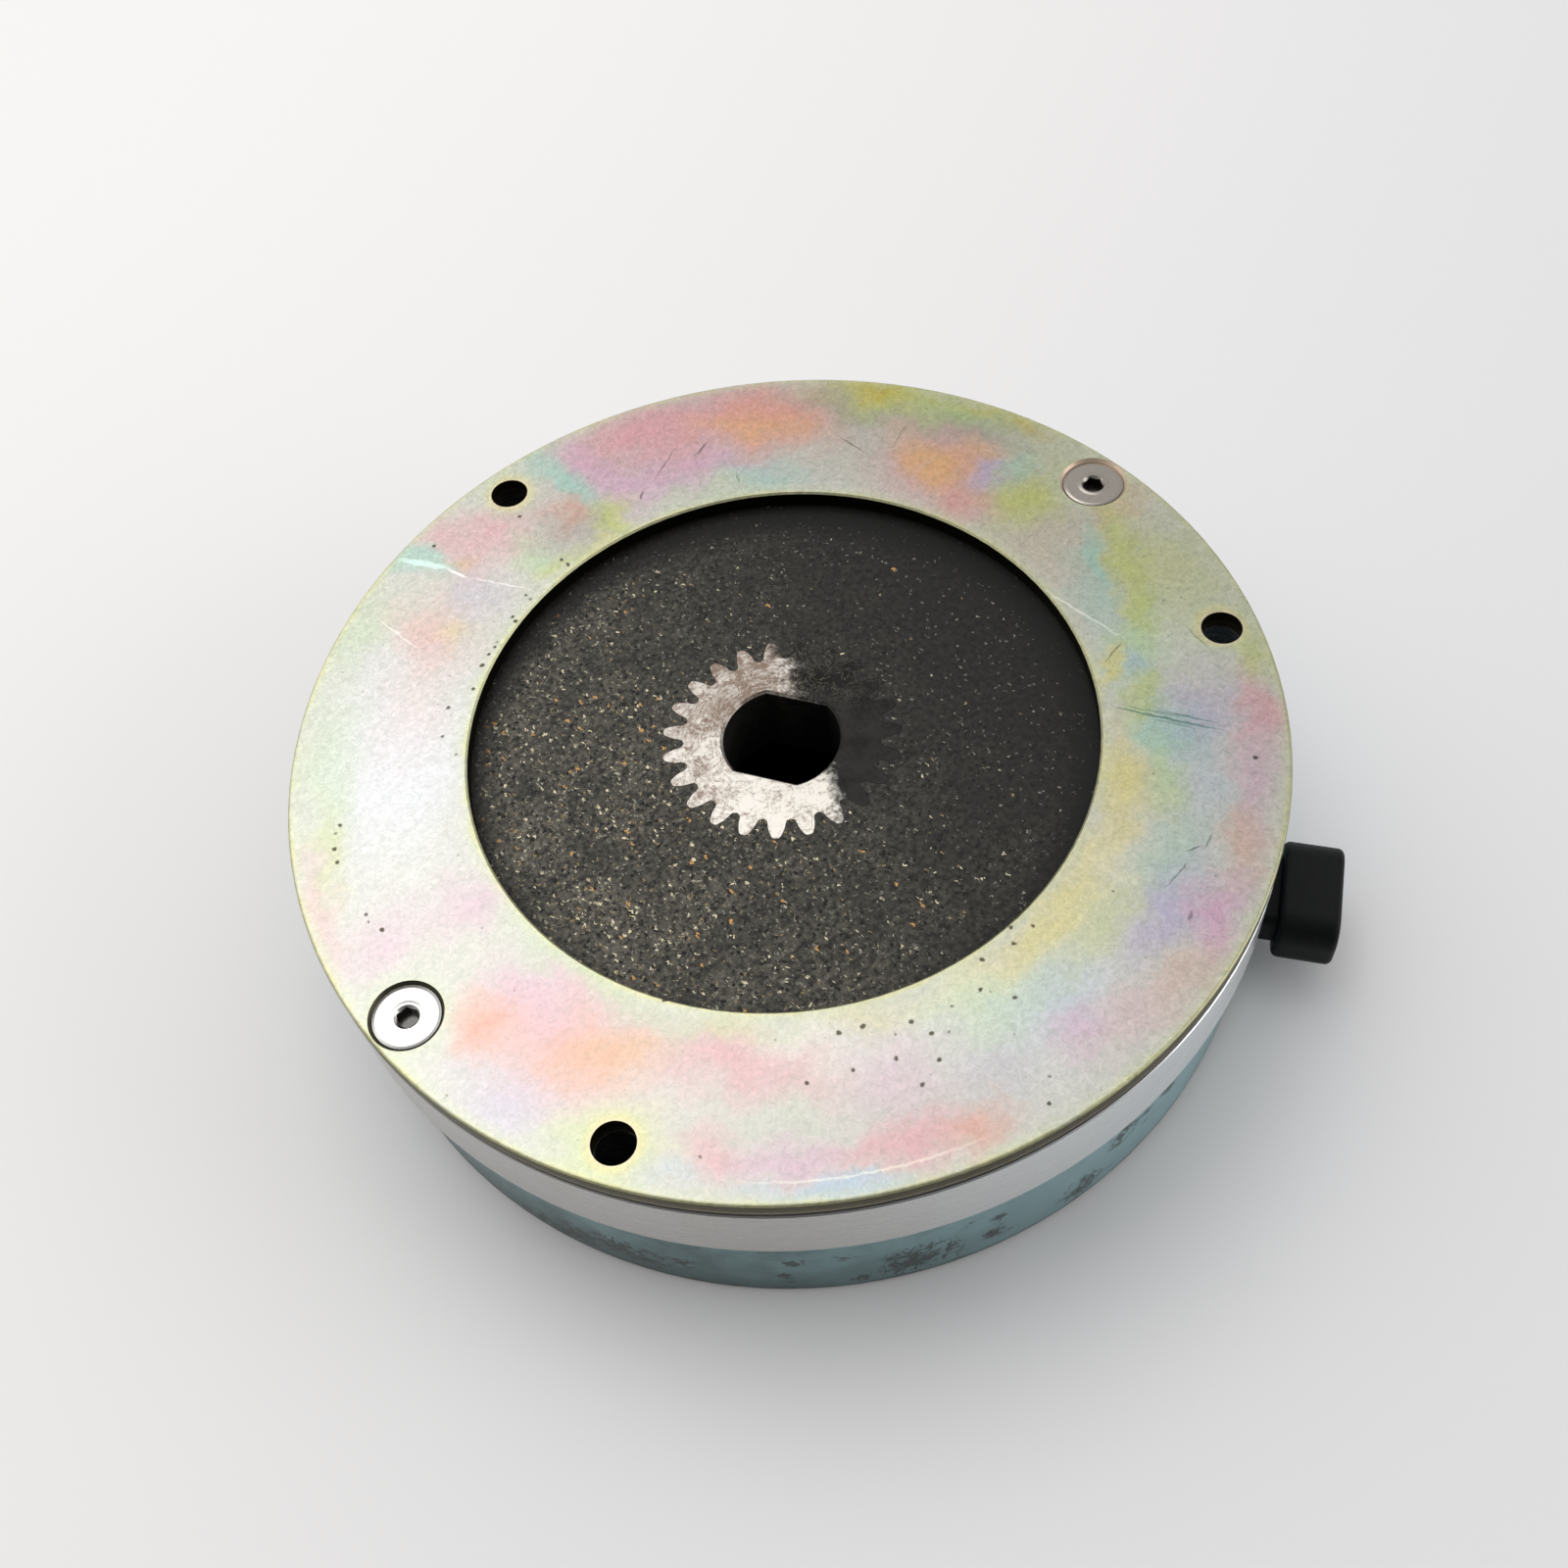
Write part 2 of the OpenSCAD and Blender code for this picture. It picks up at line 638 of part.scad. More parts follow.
// Tinned brass blades, shouldered on the shroud's floor
module terminal_blades() {
    color("#c8bfa4") for (side = [-1, 1]) rotate(connector_angle)
        translate([0, side * blade_pitch / 2, connector_z - blade_t / 2])
            linear_extrude(blade_t) polygon([
                [tail_start, -tail_w / 2],
                [cavity_start, -tail_w / 2],
                [cavity_start, -blade_w / 2],
                [blade_end - blade_tip, -blade_w / 2],
                [blade_end, -blade_w / 2 + blade_tip],
                [blade_end, blade_w / 2 - blade_tip],
                [blade_end - blade_tip, blade_w / 2],
                [cavity_start, blade_w / 2],
                [cavity_start, tail_w / 2],
                [tail_start, tail_w / 2]]);
}

translate([0, 0, flange_bottom]) flange_ring();
flange_screws();
translate([0, 0, spacer_top]) flange_gasket();
translate([0, 0, magnet_top]) spacer_ring();
translate([0, 0, armature_top]) friction_disc();
translate([0, 0, disc_top - hub_l]) drive_hub();
translate([0, 0, armature_bottom]) armature_plate();
translate([0, 0, magnet_top]) pole_shim();
guide_pins();
translate([0, 0, spring_bottom]) pressure_springs();
magnet_body();
coil_bobbin();
coil_winding();
coil_tape();
coil_potting();
lead_wires();
lead_sleeves();
connector_housing();
connector_seal();
terminal_blades();
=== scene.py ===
import math
import bmesh
import bpy
from mathutils import Matrix, Vector


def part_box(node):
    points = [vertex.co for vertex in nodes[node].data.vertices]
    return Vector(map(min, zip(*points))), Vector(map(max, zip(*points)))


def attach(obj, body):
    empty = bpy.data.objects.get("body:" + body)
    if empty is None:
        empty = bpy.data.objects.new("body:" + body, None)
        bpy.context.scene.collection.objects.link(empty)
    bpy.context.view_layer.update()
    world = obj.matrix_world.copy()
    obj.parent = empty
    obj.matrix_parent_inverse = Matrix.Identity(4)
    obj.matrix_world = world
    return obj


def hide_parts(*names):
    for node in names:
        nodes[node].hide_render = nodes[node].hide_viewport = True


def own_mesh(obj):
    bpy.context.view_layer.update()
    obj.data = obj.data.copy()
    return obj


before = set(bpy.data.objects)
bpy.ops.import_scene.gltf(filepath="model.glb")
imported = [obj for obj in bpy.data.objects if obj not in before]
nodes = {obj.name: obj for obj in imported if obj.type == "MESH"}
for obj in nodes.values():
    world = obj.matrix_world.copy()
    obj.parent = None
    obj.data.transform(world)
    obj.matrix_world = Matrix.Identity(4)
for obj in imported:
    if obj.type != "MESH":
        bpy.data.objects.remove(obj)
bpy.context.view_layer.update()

# Camera
# The brake lies on a bench and is looked down on from about 54 degrees. The distance, the height and
# the tilt of the picture come from the two circles of the flange ring.
flange_low, flange_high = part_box("flange_ring")
rim_top = flange_high[2]
rim_r = (flange_high[0] - flange_low[0]) / 2
view_direction = math.radians(-34.9)
view_height = math.radians(53.6)
view_roll = math.radians(-8.7)
view_distance = 3.3958 * rim_r
view_target_side = -0.0086 * rim_r
view_target_back = -0.1428 * rim_r
picture_size = 1600
focal_pixels = 1723.6
sensor_width = 36.0

turn = Matrix.Rotation(view_direction, 3, "Z")
eye = turn @ Vector((0, -view_distance * math.cos(view_height), view_distance * math.sin(view_height)))
aim = turn @ Vector((view_target_side, view_target_back, 0))
looking = (aim - eye).normalized()
level = looking.cross(Vector((0, 0, 1))).normalized()
upright = level.cross(looking)
picture_right = math.cos(view_roll) * level + math.sin(view_roll) * upright
picture_up = math.cos(view_roll) * upright - math.sin(view_roll) * level
pose = Matrix((picture_right, picture_up, -looking)).transposed().to_4x4()
pose.translation = eye + Vector((0, 0, rim_top))
camera_data = bpy.data.cameras.new("camera")
camera_data.sensor_fit = "HORIZONTAL"
camera_data.sensor_width = sensor_width
camera_data.lens = sensor_width * focal_pixels / picture_size
camera_data.clip_start = 0.01
camera_data.clip_end = 20.0
camera = bpy.data.objects.new("camera", camera_data)
camera.matrix_world = pose
bpy.context.scene.collection.objects.link(camera)
bpy.context.scene.camera = camera
bpy.context.scene.view_settings.view_transform = "Standard"

# Bench and light
# A pale bench top under the brake, warm on the left of the picture, with painted shade greying its right.
# Two broad soft lamps stand high behind the brake, a third low on its right, and a pale room is round it.


def colour(code):
    """A colour written as an sRGB hex code, as linear red, green, blue and alpha."""
    values = [int(code[i:i + 2], 16) / 255 for i in (1, 3, 5)]
    return [v / 12.92 if v <= 0.04045 else ((v + 0.055) / 1.055) ** 2.4 for v in values] + [1.0]


# Settings that many nodes share
in_colour = {"data_type": "RGBA"}
multiplied = {"data_type": "RGBA", "blend_type": "MULTIPLY"}
smoothly = {"interpolation_type": "SMOOTHSTEP"}


def add(material, kind, settings=None, **sockets):
    """Adds a shader node. Its settings are a dict, or just the name of its operation. A socket is given by
    its name, with _ for a space, or as i0, i1 for its number. It takes a value, another node's output, or
    another node, which stands for its first output in use."""
    made = material.node_tree.nodes.new("ShaderNode" + kind)
    if isinstance(settings, str):
        settings = {"operation": settings}
    for name, value in (settings or {}).items():
        setattr(made, name, value)
    for name, value in sockets.items():
        number = name[1:].isdigit() and name[0] == "i"
        socket = made.inputs[int(name[1:])] if number else made.inputs[name.replace("_", " ")]
        if isinstance(value, bpy.types.Node):
            value = next(output for output in value.outputs if output.enabled)
        if isinstance(value, bpy.types.NodeSocket):
            material.node_tree.links.new(value, socket)
        else:
            socket.default_value = value
    return made


def new_material(name):
    """An empty node material."""
    material = bpy.data.materials.new(name)
    material.use_nodes = True
    material.node_tree.nodes.clear()
    return material


def dress(piece, material):
    """Gives a piece one material, in place of any that it has."""
    piece.data.materials.clear()
    piece.data.materials.append(material)


body_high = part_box("magnet_body")[1]
bench_size = 3.0
bench_shady_side = turn @ Vector((0.85, -0.5, 0))
bench = new_material("bench_top")
bench_place = add(bench, "TexCoord")
bench_cloud = add(bench, "TexNoise", Vector=bench_place.outputs["Object"], Scale=3.0, Detail=2.0)
bench_axis = add(bench, "VectorMath", "DOT_PRODUCT", i0=bench_place.outputs["Object"], i1=bench_shady_side)
# Painted shade: the bench is painted greyer towards its shady side
bench_shade_fade = add(bench, "MapRange", smoothly, Value=bench_axis, i1=-0.3, i2=0.3, i3=0.0, i4=1.0)
bench_near = add(bench, "Mix", in_colour, i0=bench_cloud, i6=colour("#f8f5f2"), i7=colour("#faf8f7"))
bench_tint = add(bench, "Mix", in_colour, i0=bench_shade_fade, i6=bench_near, i7=colour("#e0e0e2"))
# Painted shade: under the brake's bore the bench is painted dark
bench_away = add(bench, "VectorMath", "LENGTH", i0=bench_place.outputs["Object"])
bench_under_shade = add(bench, "Math", "LESS_THAN", i0=bench_away, i1=0.8 * body_high[0])
bench_final = add(bench, "Mix", in_colour, i0=bench_under_shade, i6=bench_tint, i7=colour("#0c0c0c"))
bench_shader = add(bench, "BsdfPrincipled", Base_Color=bench_final, Roughness=0.6)
bench_shader.inputs["Specular IOR Level"].default_value = 0.2
add(bench, "OutputMaterial", Surface=bench_shader)
bench_mesh = bmesh.new()
bmesh.ops.create_grid(bench_mesh, x_segments=1, y_segments=1, size=bench_size)
bench_data = bpy.data.meshes.new("bench")
bench_mesh.to_mesh(bench_data)
bench_mesh.free()
bench_top = bpy.data.objects.new("bench", bench_data)
bpy.context.scene.collection.objects.link(bench_top)
dress(bench_top, bench)

room = bpy.data.worlds.new("room")
bpy.context.scene.world = room
room.use_nodes = True
room_light = room.node_tree.nodes["Background"]
room_light.inputs["Color"].default_value = colour("#f2f2f2")
# The room is brighter behind the brake than in front of it
window_side = turn @ Vector((0, 1, 0))
room_place = add(room, "TexCoord")
room_side = add(room, "VectorMath", "DOT_PRODUCT", i0=room_place.outputs["Generated"], i1=window_side)
room_level = add(room, "MapRange", Value=room_side, i1=-0.85, i2=0.15, i3=0.2, i4=0.92)
# Looked at straight, beyond the bench, the room is plain and pale
room_seen = add(room, "LightPath")
room_pale = add(room, "MapRange", Value=room_seen.outputs["Is Camera Ray"], i3=room_level, i4=0.75)
room.node_tree.links.new(room_pale.outputs[0], room_light.inputs["Strength"])


def lamp(name, side, back, height, width, watts):
    """A square soft lamp, placed as the camera sees the brake, that faces the brake's middle."""
    data = bpy.data.lights.new(name, "AREA")
    data.size = width
    data.energy = watts
    placed = bpy.data.objects.new(name, data)
    spot = turn @ Vector((side, back, height))
    placed.matrix_world = (-spot).to_track_quat("-Z", "Y").to_matrix().to_4x4()
    placed.matrix_world.translation = spot
    bpy.context.scene.collection.objects.link(placed)


lamp("window", -0.88, 0.5, 1.3, 1.4, 4.9)
lamp("ceiling", -0.2, 0.62, 1.7, 1.2, 6.4)
lamp("side_window", 1.25, -0.3, 0.5, 0.8, 3.6)

# Flange ring
# Steel ring, stamped and turned, with a yellow-passivated zinc coat. The coat's thin film drifts in
# thickness, so it shows pale pink, gold, green and lilac clouds, with yellow at every edge.
hole_circle_mm = 71.0
hole_edge_mm = 3.2
sink_edge_mm = 5.55
screw_gap_mm = 1.3
opening_mm = 49.0
rim_mm = rim_r * 1000
coat_base = "#dcd9d1"
# The clouds are paler on the side of -X
strong_side = 0.9
pale_side = 0.72
# The colours that the film gives as its thickness drifts
film_tints = {
    "pale": "#f8f9f0",
    "frost": "#ecedf6",
    "moss": "#a2a890",
    "khaki": "#bcb48c",
    "gold": "#d6c45e",
    "rose": "#eda6b2",
    "salmon": "#f0a68f",
    "amber": "#eebd84",
    "straw": "#ecdf90",
    "lime": "#cfd676",
    "leaf": "#bcdfa6",
    "aqua": "#a4d8cb",
    "sky": "#b8d0ea",
    "lilac": "#c9bbe0",
    "orchid": "#e4abd2",
    # A grey that darkens the coat: partly smudges, partly painted shade
    "grey_smudge_and_shade": "#b7b1a8",
}
# Clouds in the coat: centre x and y, half length and half width in mm, direction in degrees, a tint and
# its strength
coat_clouds = [
    # Painted shade: a large grey cloud darkens this quarter of the coat
    (42, 52, 40, 20, -50, "grey_smudge_and_shade", 0.5),
    (56, 8, 16, 30, 0, "khaki", 0.45),
    (66, 26, 14, 5.5, -66, "moss", 0.75),
    (-46, 38, 26, 13, 52, "frost", 0.85),
    (-11, -55, 19, 8, -10, "pale", 0.95),
    (-33, -43, 11, 5, -52, "pale", 0.6),
    (-4, -65, 13, 10, 0, "frost", 0.5),
    (14, -54, 12, 6, 14, "pale", 0.45),
    (54, -30, 7, 6, 0, "pale", 0.35),
    (16, 62, 18, 15, -15, "grey_smudge_and_shade", 0.5),
    (-46, -54, 22, 8, -42, "grey_smudge_and_shade", 0.2),
    (70, 8, 9, 9, 0, "lime", 0.3),
    (66, -22, 17, 9, 72, "lime", 0.51),
    (50, -29, 11, 6, 30, "leaf", 0.7),
    (55, -5, 8, 9, 0, "salmon", 0.12),
    (34, 60, 25, 11, -38, "rose", 0.78),
    (44, 51, 13, 9, -60, "salmon", 0.71),
    (40, 52, 12, 4, -52, "amber", 0.59),
    (23, 66, 9, 6, -20, "rose", 0.49),
    (19, 55, 12, 7, -15, "orchid", 0.55),
    (31, 49, 10, 2.6, -58, "orchid", 0.46),
    (14, 66, 4.2, 12, 0, "orchid", 0.55),
    (8.5, 66, 3.4, 12, 0, "aqua", 0.72),
    (4.2, 59, 3.4, 5.5, 0, "salmon", 0.87),
    (4.5, 54, 2, 2.4, 0, "lilac", 0.8),
    (8.5, 53, 4.6, 5, 0, "lime", 0.9),
    (4, 50, 4, 1.8, 0, "straw", 0.68),
    (34, 42, 8, 3.6, -50, "aqua", 0.54),
    (24, 46, 9, 3, -28, "leaf", 0.25),
    (55, 43, 12, 3.6, -64, "moss", 0.6),
    (62, 40, 15, 6, -60, "lime", 0.75),
    (61.5, 43, 8, 4.2, -62, "gold", 0.95),
    (70, 27, 12, 3.6, -66, "lime", 0.6),
    (73.5, 19, 9, 2.4, -74, "gold", 0.8),
    (56, 21, 11, 13, 10, "rose", 0.78),
    (55, 22, 5.2, 10.5, -8, "amber", 0.95),
    (62, 19, 4.6, 5, 0, "amber", 0.52),
    (53, 12, 5, 4.6, 0, "rose", 0.53),
    (60.5, 13.5, 3.6, 2.4, 0, "lilac", 0.8),
    (65, 11.5, 6, 3, 20, "aqua", 0.58),
    (67, 27, 9, 2.8, -60, "leaf", 0.35),
    (59, 6, 7, 6, 0, "lime", 0.85),
    (70, -6, 7, 4.6, 0, "amber", 0.6),
    (52, -16, 11, 4, 60, "aqua", 0.39),
    (58, -13, 10, 2.4, 60, "aqua", 0.72),
    (62.5, -15, 13, 3.8, 56, "lime", 0.7),
    (56, -25, 6, 3.6, 56, "lime", 0.6),
    (46, -31.5, 3.2, 2.6, 0, "sky", 0.75),
    (44, -28, 3.8, 1.8, 0, "straw", 0.75),
    (42, -36, 6, 3.4, 45, "lime", 0.66),
    (61, -43, 6, 4, 50, "lime", 0.73),
    (42, -43, 6, 7, 30, "aqua", 0.8),
    (35, -47, 9, 3.6, 40, "leaf", 0.61),
    (14, -51, 19, 4.6, 12, "straw", 0.62),
    (30, -43, 10, 4, 42, "straw", 0.85),
    (3, -53, 11, 4, 0, "straw", 0.5),
    (9, -58, 15, 3.6, 8, "lime", 0.43),
    (24, -58, 10, 4.6, 28, "aqua", 0.45),
    (17, -63, 10, 5, 15, "lilac", 0.8),
    (38, -53, 9, 4.6, 40, "sky", 0.38),
    (47, -44, 7, 7, 0, "lilac", 0.59),
    (53, -50, 8, 4, 52, "rose", 0.65),
    (43, -58, 10, 3.6, 40, "orchid", 0.47),
    (33, -64, 7, 4, 30, "salmon", 0.4),
    (22, -68, 7, 4, 20, "orchid", 0.8),
    (12, -72, 8, 3.6, 10, "salmon", 0.3),
    (1, -71, 8, 4.6, 0, "rose", 0.3),
    (-5, -67, 5, 3.6, 0, "orchid", 0.58),
    (-5, -61, 9, 6, 0, "sky", 0.45),
    (-12, -57, 11, 5.4, -10, "leaf", 0.47),
    (-12, -52, 13, 4, -14, "lime", 0.3),
    (-25, -44.5, 9, 3.6, -36, "straw", 0.42),
    (-6, -50, 9, 3, -4, "straw", 0.4),
    (-18, -62, 7, 8, 0, "lilac", 0.35),
    (-28, -55, 8, 8, 0, "orchid", 0.45),
    (-46, -54, 11, 3.6, -42, "orchid", 0.6),
    (-33, -63, 10, 3.8, -26, "rose", 0.85),
    (-25, -67.5, 6, 3.4, -14, "salmon", 0.7),
    (-44, -61.5, 13, 1.9, -40, "sky", 0.85),
    (-43, -37, 11, 6, -50, "rose", 0.75),
    (-36, -46, 7, 5, -50, "rose", 0.42),
    (-42, -49, 6, 4.6, -45, "leaf", 0.09),
    (-53, -46, 4, 5, 0, "rose", 0.59),
    (-57, -19, 14, 10, -62, "rose", 0.76),
    (-54, -24, 10, 4.6, -42, "amber", 0.66),
    (-64, -9, 5, 6, 0, "salmon", 0.78),
    (-55, -8, 6, 7, 0, "orchid", 0.4),
    (-48, -13, 16, 3, -78, "leaf", 0.49),
    (-39, -33, 9, 3, -50, "lime", 0.37),
    (-69, -21, 6, 10, 20, "lilac", 0.49),
    (-66, -32, 4, 6, 0, "leaf", 0.35),
    (-62, -36, 8.5, 8.5, 0, "straw", 0.5),
    (-60, -43, 6, 3, -50, "sky", 0.4),
    (-66, 12, 8, 6, 0, "orchid", 0.43),
    (-54, 8, 6, 6, 0, "orchid", 0.49),
    (-70, 24, 12, 3, 70, "rose", 0.43),
    (-56, 44, 17, 6, 52, "leaf", 0.38),
    (-64, 31, 10, 2.6, 64, "lime", 0.44),
    (-36, 64, 10, 5, 26, "leaf", 0.39),
    (-38, 45, 13, 7, 40, "salmon", 0.22),
    (-28, 57, 7, 8, 0, "salmon", 0.4),
    (-26, 53, 8, 8, 0, "rose", 0.3),
    (-24, 52, 4, 4.4, 0, "straw", 0.4),
    (-17, 57, 5, 8, 10, "lilac", 0.39),
    (-8, 65, 11, 8, 0, "rose", 0.74),
    (-15, 72, 6, 4.6, 0, "rose", 0.55),
    (-21, 70, 8, 3, -56, "aqua", 0.83),
    (-16, 64, 3.4, 2.4, -50, "amber", 0.56),
    (-5, 56, 4.6, 6, 0, "leaf", 0.65),
    (-3, 51, 8, 3.2, 0, "lime", 0.72),
    (3, 56.5, 7, 8, 0, "grey_smudge_and_shade", 0.7),
]
# Scratches and scuffs: as the clouds, with a colour in place of the tint
coat_scratches = [
    (-32, 58.5, 6, 0.2, 96, "#fffdf8", 0.34),
    (-13.5, 55.5, 6, 0.22, 121, "#fbf8f2", 0.34),
    (-17.3, 62.6, 2.6, 0.3, 105, "#fffffa", 0.54),
    (-20, 68.5, 5.5, 0.8, 122, "#e4fbf4", 0.48),
    (23.5, 56.5, 5, 0.16, 24, "#6e6260", 0.7),
    (30.3, 54.6, 2.2, 0.24, 14, "#675a5c", 0.75),
    (15.8, 53.6, 1.4, 0.26, 40, "#6d6067", 0.8),
    (49.2, 36, 3.4, 0.22, 94, "#6f6c60", 0.75),
    (30, 44.5, 2, 0.16, 60, "#77756a", 0.6),
    (56, 31.5, 4, 0.14, 22, "#81706a", 0.6),
    (48.7, -18, 9, 0.28, 95, "#f2f5ee", 0.3),
    (46.4, -26.7, 2.8, 0.16, 9, "#66685c", 0.8),
    (57.4, -34, 3.2, 0.18, 80, "#74765c", 0.6),
    (40.6, -38, 5.6, 0.26, -62, "#5d7a68", 0.75),
    (41.8, -38.6, 5, 0.2, -60, "#5d7a68", 0.6),
    (43.6, -43.4, 6.2, 0.32, -60, "#56746c", 0.75),
    (44.8, -43.2, 4.6, 0.22, -61, "#56746c", 0.65),
    (42.4, -42.6, 4, 0.2, -62, "#607d72", 0.6),
    (22.5, -60.1, 3.2, 0.16, 6, "#69706e", 0.75),
    (27.5, -59, 1.4, 0.2, -24, "#646b69", 0.8),
    (30, -59.6, 1.6, 0.16, 12, "#69706e", 0.7),
    (18.8, -65.8, 1, 0.3, 30, "#6f6674", 0.75),
    (-46, 23, 5, 0.14, -16, "#b9bcb0", 0.6),
]
# Pits through the coat, by their centres in mm
coat_pits = [
    (-26, 43.4), (-24, 44.4), (-22.4, 45), (-21.4, 45.6), (-16.6, 47), (-16.4, 48), (-12, 50.2),
    (-11.8, 49), (-30, 40.6), (-35, 40.4), (-39, 36.4), (-39.4, 32), (-3, 52), (-3, 50.4), (-60, 34),
    (-61.2, 33.2), (-63, 31), (-64, 28.6), (-66, 18), (-66.4, 16.6), (-65.6, 14), (-2, 65.4),
    (-16.4, 70.6), (14, -55.6), (46, -55), (-26, -46.2), (-26, -52.8), (-18, -55), (-20, -53.6),
    (-37, -47), (-26, -58), (-54.4, -45), (-43, -24), (-7, -50.4), (-2, -51.6), (-23.5, -50.2),
    (-20.6, -50.4), (-0.4, -49.6), (2, -51.6), (-13.2, -68.8), (-16, -71.5), (-29, -44.6), (-31.4, -50),
    (-15, -52.6), (-10.5, -53.4), (-22, -57), (-8, -57.6),
]
pit_mm = 0.45
coat = new_material("yellow_zinc_coat")
coat_place = add(coat, "TexCoord")
coat_mm = add(coat, "VectorMath", "SCALE", i0=coat_place.outputs["Object"], Scale=1000.0)
coat_where = add(coat, "SeparateXYZ", Vector=coat_mm)
straight = add(coat, "VectorMath", "MULTIPLY", i0=coat_mm, i1=(1, 1, 0))
# The clouds' edges wander by a few millimetres
wander_mm = 13
wander = add(coat, "TexNoise", Vector=coat_mm, Scale=0.12, Detail=5.0, Roughness=0.6)
centred = add(coat, "VectorMath", "SUBTRACT", i0=wander.outputs["Color"], i1=(0.5, 0.5, 0.5))
shifted = add(coat, "VectorMath", "MULTIPLY_ADD", i0=centred, i1=(wander_mm, wander_mm, 0), i2=straight)
# A yellow line at the two rims, and round each hole and screw
radius = add(coat, "VectorMath", "LENGTH", i0=straight)
inner = add(coat, "Math", "SUBTRACT", i0=radius, i1=opening_mm)
outer = add(coat, "Math", "SUBTRACT", i0=rim_mm, i1=radius)
nearest = add(coat, "Math", "MINIMUM", i0=inner, i1=outer)
# A distance beyond every mark's reach
far_mm = 50.0
holes = far_mm
tinged = far_mm
for angle, edge in [(90, hole_edge_mm), (210, hole_edge_mm), (330, hole_edge_mm), (0, sink_edge_mm),
                    (180, sink_edge_mm)]:
    around = math.radians(angle)
    spot = (hole_circle_mm * math.cos(around), hole_circle_mm * math.sin(around), 0)
    away = add(coat, "VectorMath", "DISTANCE", i0=straight, i1=spot)
    margin = add(coat, "Math", "SUBTRACT", i0=away, i1=edge)
    holes = add(coat, "Math", "MINIMUM", i0=holes, i1=margin)
    # The film is hardly yellow round a screw
    further = add(coat, "Math", "ADD", i0=margin, i1=screw_gap_mm if edge == sink_edge_mm else 0.0)
    tinged = add(coat, "Math", "MINIMUM", i0=tinged, i1=further)
halo_wander_mm = 2.4
halos = []
for distance, reach_mm, tint, strength in [(tinged, 4.4, "#cfe0bc", 0.4),
                                           (tinged, 2.2, "#efe2a0", 0.55),
                                           (nearest, 2.8, "#dde3bc", 0.4),
                                           (nearest, 1.0, "#e6e2ac", 0.75)]:
    uneven = add(coat, "Math", "MULTIPLY_ADD", i0=wander, i1=-halo_wander_mm, i2=distance)
    halo = add(coat, "MapRange", smoothly, Value=uneven, i1=-halo_wander_mm / 2,
               i2=reach_mm - halo_wander_mm / 2, i3=strength, i4=0.0)
    halos.append((halo, tint))
# A pale burr round each mounting hole
burr = add(coat, "MapRange", smoothly, Value=tinged, i1=0.1, i2=0.5, i3=0.75, i4=0.0)
halos.append((burr, "#f2e2c2"))
# Painted shade: the coat is painted darker towards one side of the ring
coat_shade_axis = add(coat, "VectorMath", "DOT_PRODUCT", i0=straight, i1=(-0.87, 0.5, 0))
coat_painted_shade = add(coat, "MapRange", Value=coat_shade_axis, i1=-60.0, i2=60.0, i3=0.7, i4=0.94)
# Fine mottling of the passivated steel, from about a millimetre down
mottle = add(coat, "TexNoise", Vector=coat_mm, Scale=1.15, Detail=6.0, Roughness=0.78, Distortion=0.8)
mottle_tint = add(coat, "ValToRGB", Fac=mottle)
mottle_tint.color_ramp.elements[0].position = 0.34
mottle_tint.color_ramp.elements[0].color = colour("#bcc1bb")
mottle_tint.color_ramp.elements[1].position = 0.66
mottle_tint.color_ramp.elements[1].color = colour("#ffffff")
# Faint brushed hairlines, drawn half a millimetre wide so that they show
hairline_place = add(coat, "Mapping", Vector=coat_mm, Rotation=(0, 0, math.radians(33)),
                     Scale=(0.12, 2.2, 1.0))
hairline = add(coat, "TexNoise", Vector=hairline_place, Scale=1.0, Detail=3.0, Roughness=0.7,
               Distortion=0.5)
hairline_share = add(coat, "MapRange", Value=hairline, i1=0.52, i2=0.75, i3=0.0, i4=0.32)
grain_bump = add(coat, "Bump", Strength=0.3, Distance=0.00008, Height=mottle)
sheen = add(coat, "MapRange", Value=mottle, i1=0.3, i2=0.7, i3=0.38, i4=0.5)
# Scratches waver a little
waver_mm = 0.9
waver_mean = waver_mm / 2
waver = add(coat, "TexNoise", Vector=coat_mm, Scale=0.7, Detail=3.0)
wavered = add(coat, "VectorMath", "MULTIPLY_ADD", i0=waver.outputs["Color"], i1=(waver_mm, waver_mm, 0),
              i2=straight)
# Small dull specks, about eight to the square centimetre
specks = add(coat, "TexVoronoi", Vector=straight, Scale=0.42)
speck_size = add(coat, "SeparateColor", i0=specks.outputs["Color"])
speck_edge = add(coat, "MapRange", Value=speck_size, i1=0.55, i2=1.0, i3=0.0, i4=0.1)
speck = add(coat, "Math", "LESS_THAN", i0=specks.outputs["Distance"], i1=speck_edge)
speck_share = add(coat, "Math", "MULTIPLY", i0=speck, i1=0.5)
# Painted shade: the ring's walls are painted darker and browner than its face, above all in the opening
# and the screw holes
facing = add(coat, "SeparateXYZ", Vector=coat_place.outputs["Normal"])
wall = add(coat, "MapRange", Value=facing.outputs["Z"], i1=0.3, i2=0.7, i3=0.97, i4=0.0)
indoors = add(coat, "Math", "LESS_THAN", i0=radius, i1=opening_mm + 0.1)
sunk = add(coat, "Math", "LESS_THAN", i0=holes, i1=-0.02)
shaded_wall = add(coat, "Math", "MULTIPLY", i0=indoors, i1=wall)
sunk_shade_share = add(coat, "MapRange", Value=coat_where.outputs["X"], i1=60.0, i2=66.0, i3=0.9, i4=0.0)
sunk_painted_shade = add(coat, "Math", "MULTIPLY", i0=sunk, i1=sunk_shade_share)
# Painted highlight: the right screw's countersink is painted pale, as if it reflects the room
sunk_highlight_share = add(coat, "MapRange", Value=coat_where.outputs["X"], i1=62.0, i2=66.0, i3=0.0, i4=0.95)
sunk_painted_highlight = add(coat, "Math", "MULTIPLY", i0=sunk, i1=sunk_highlight_share)
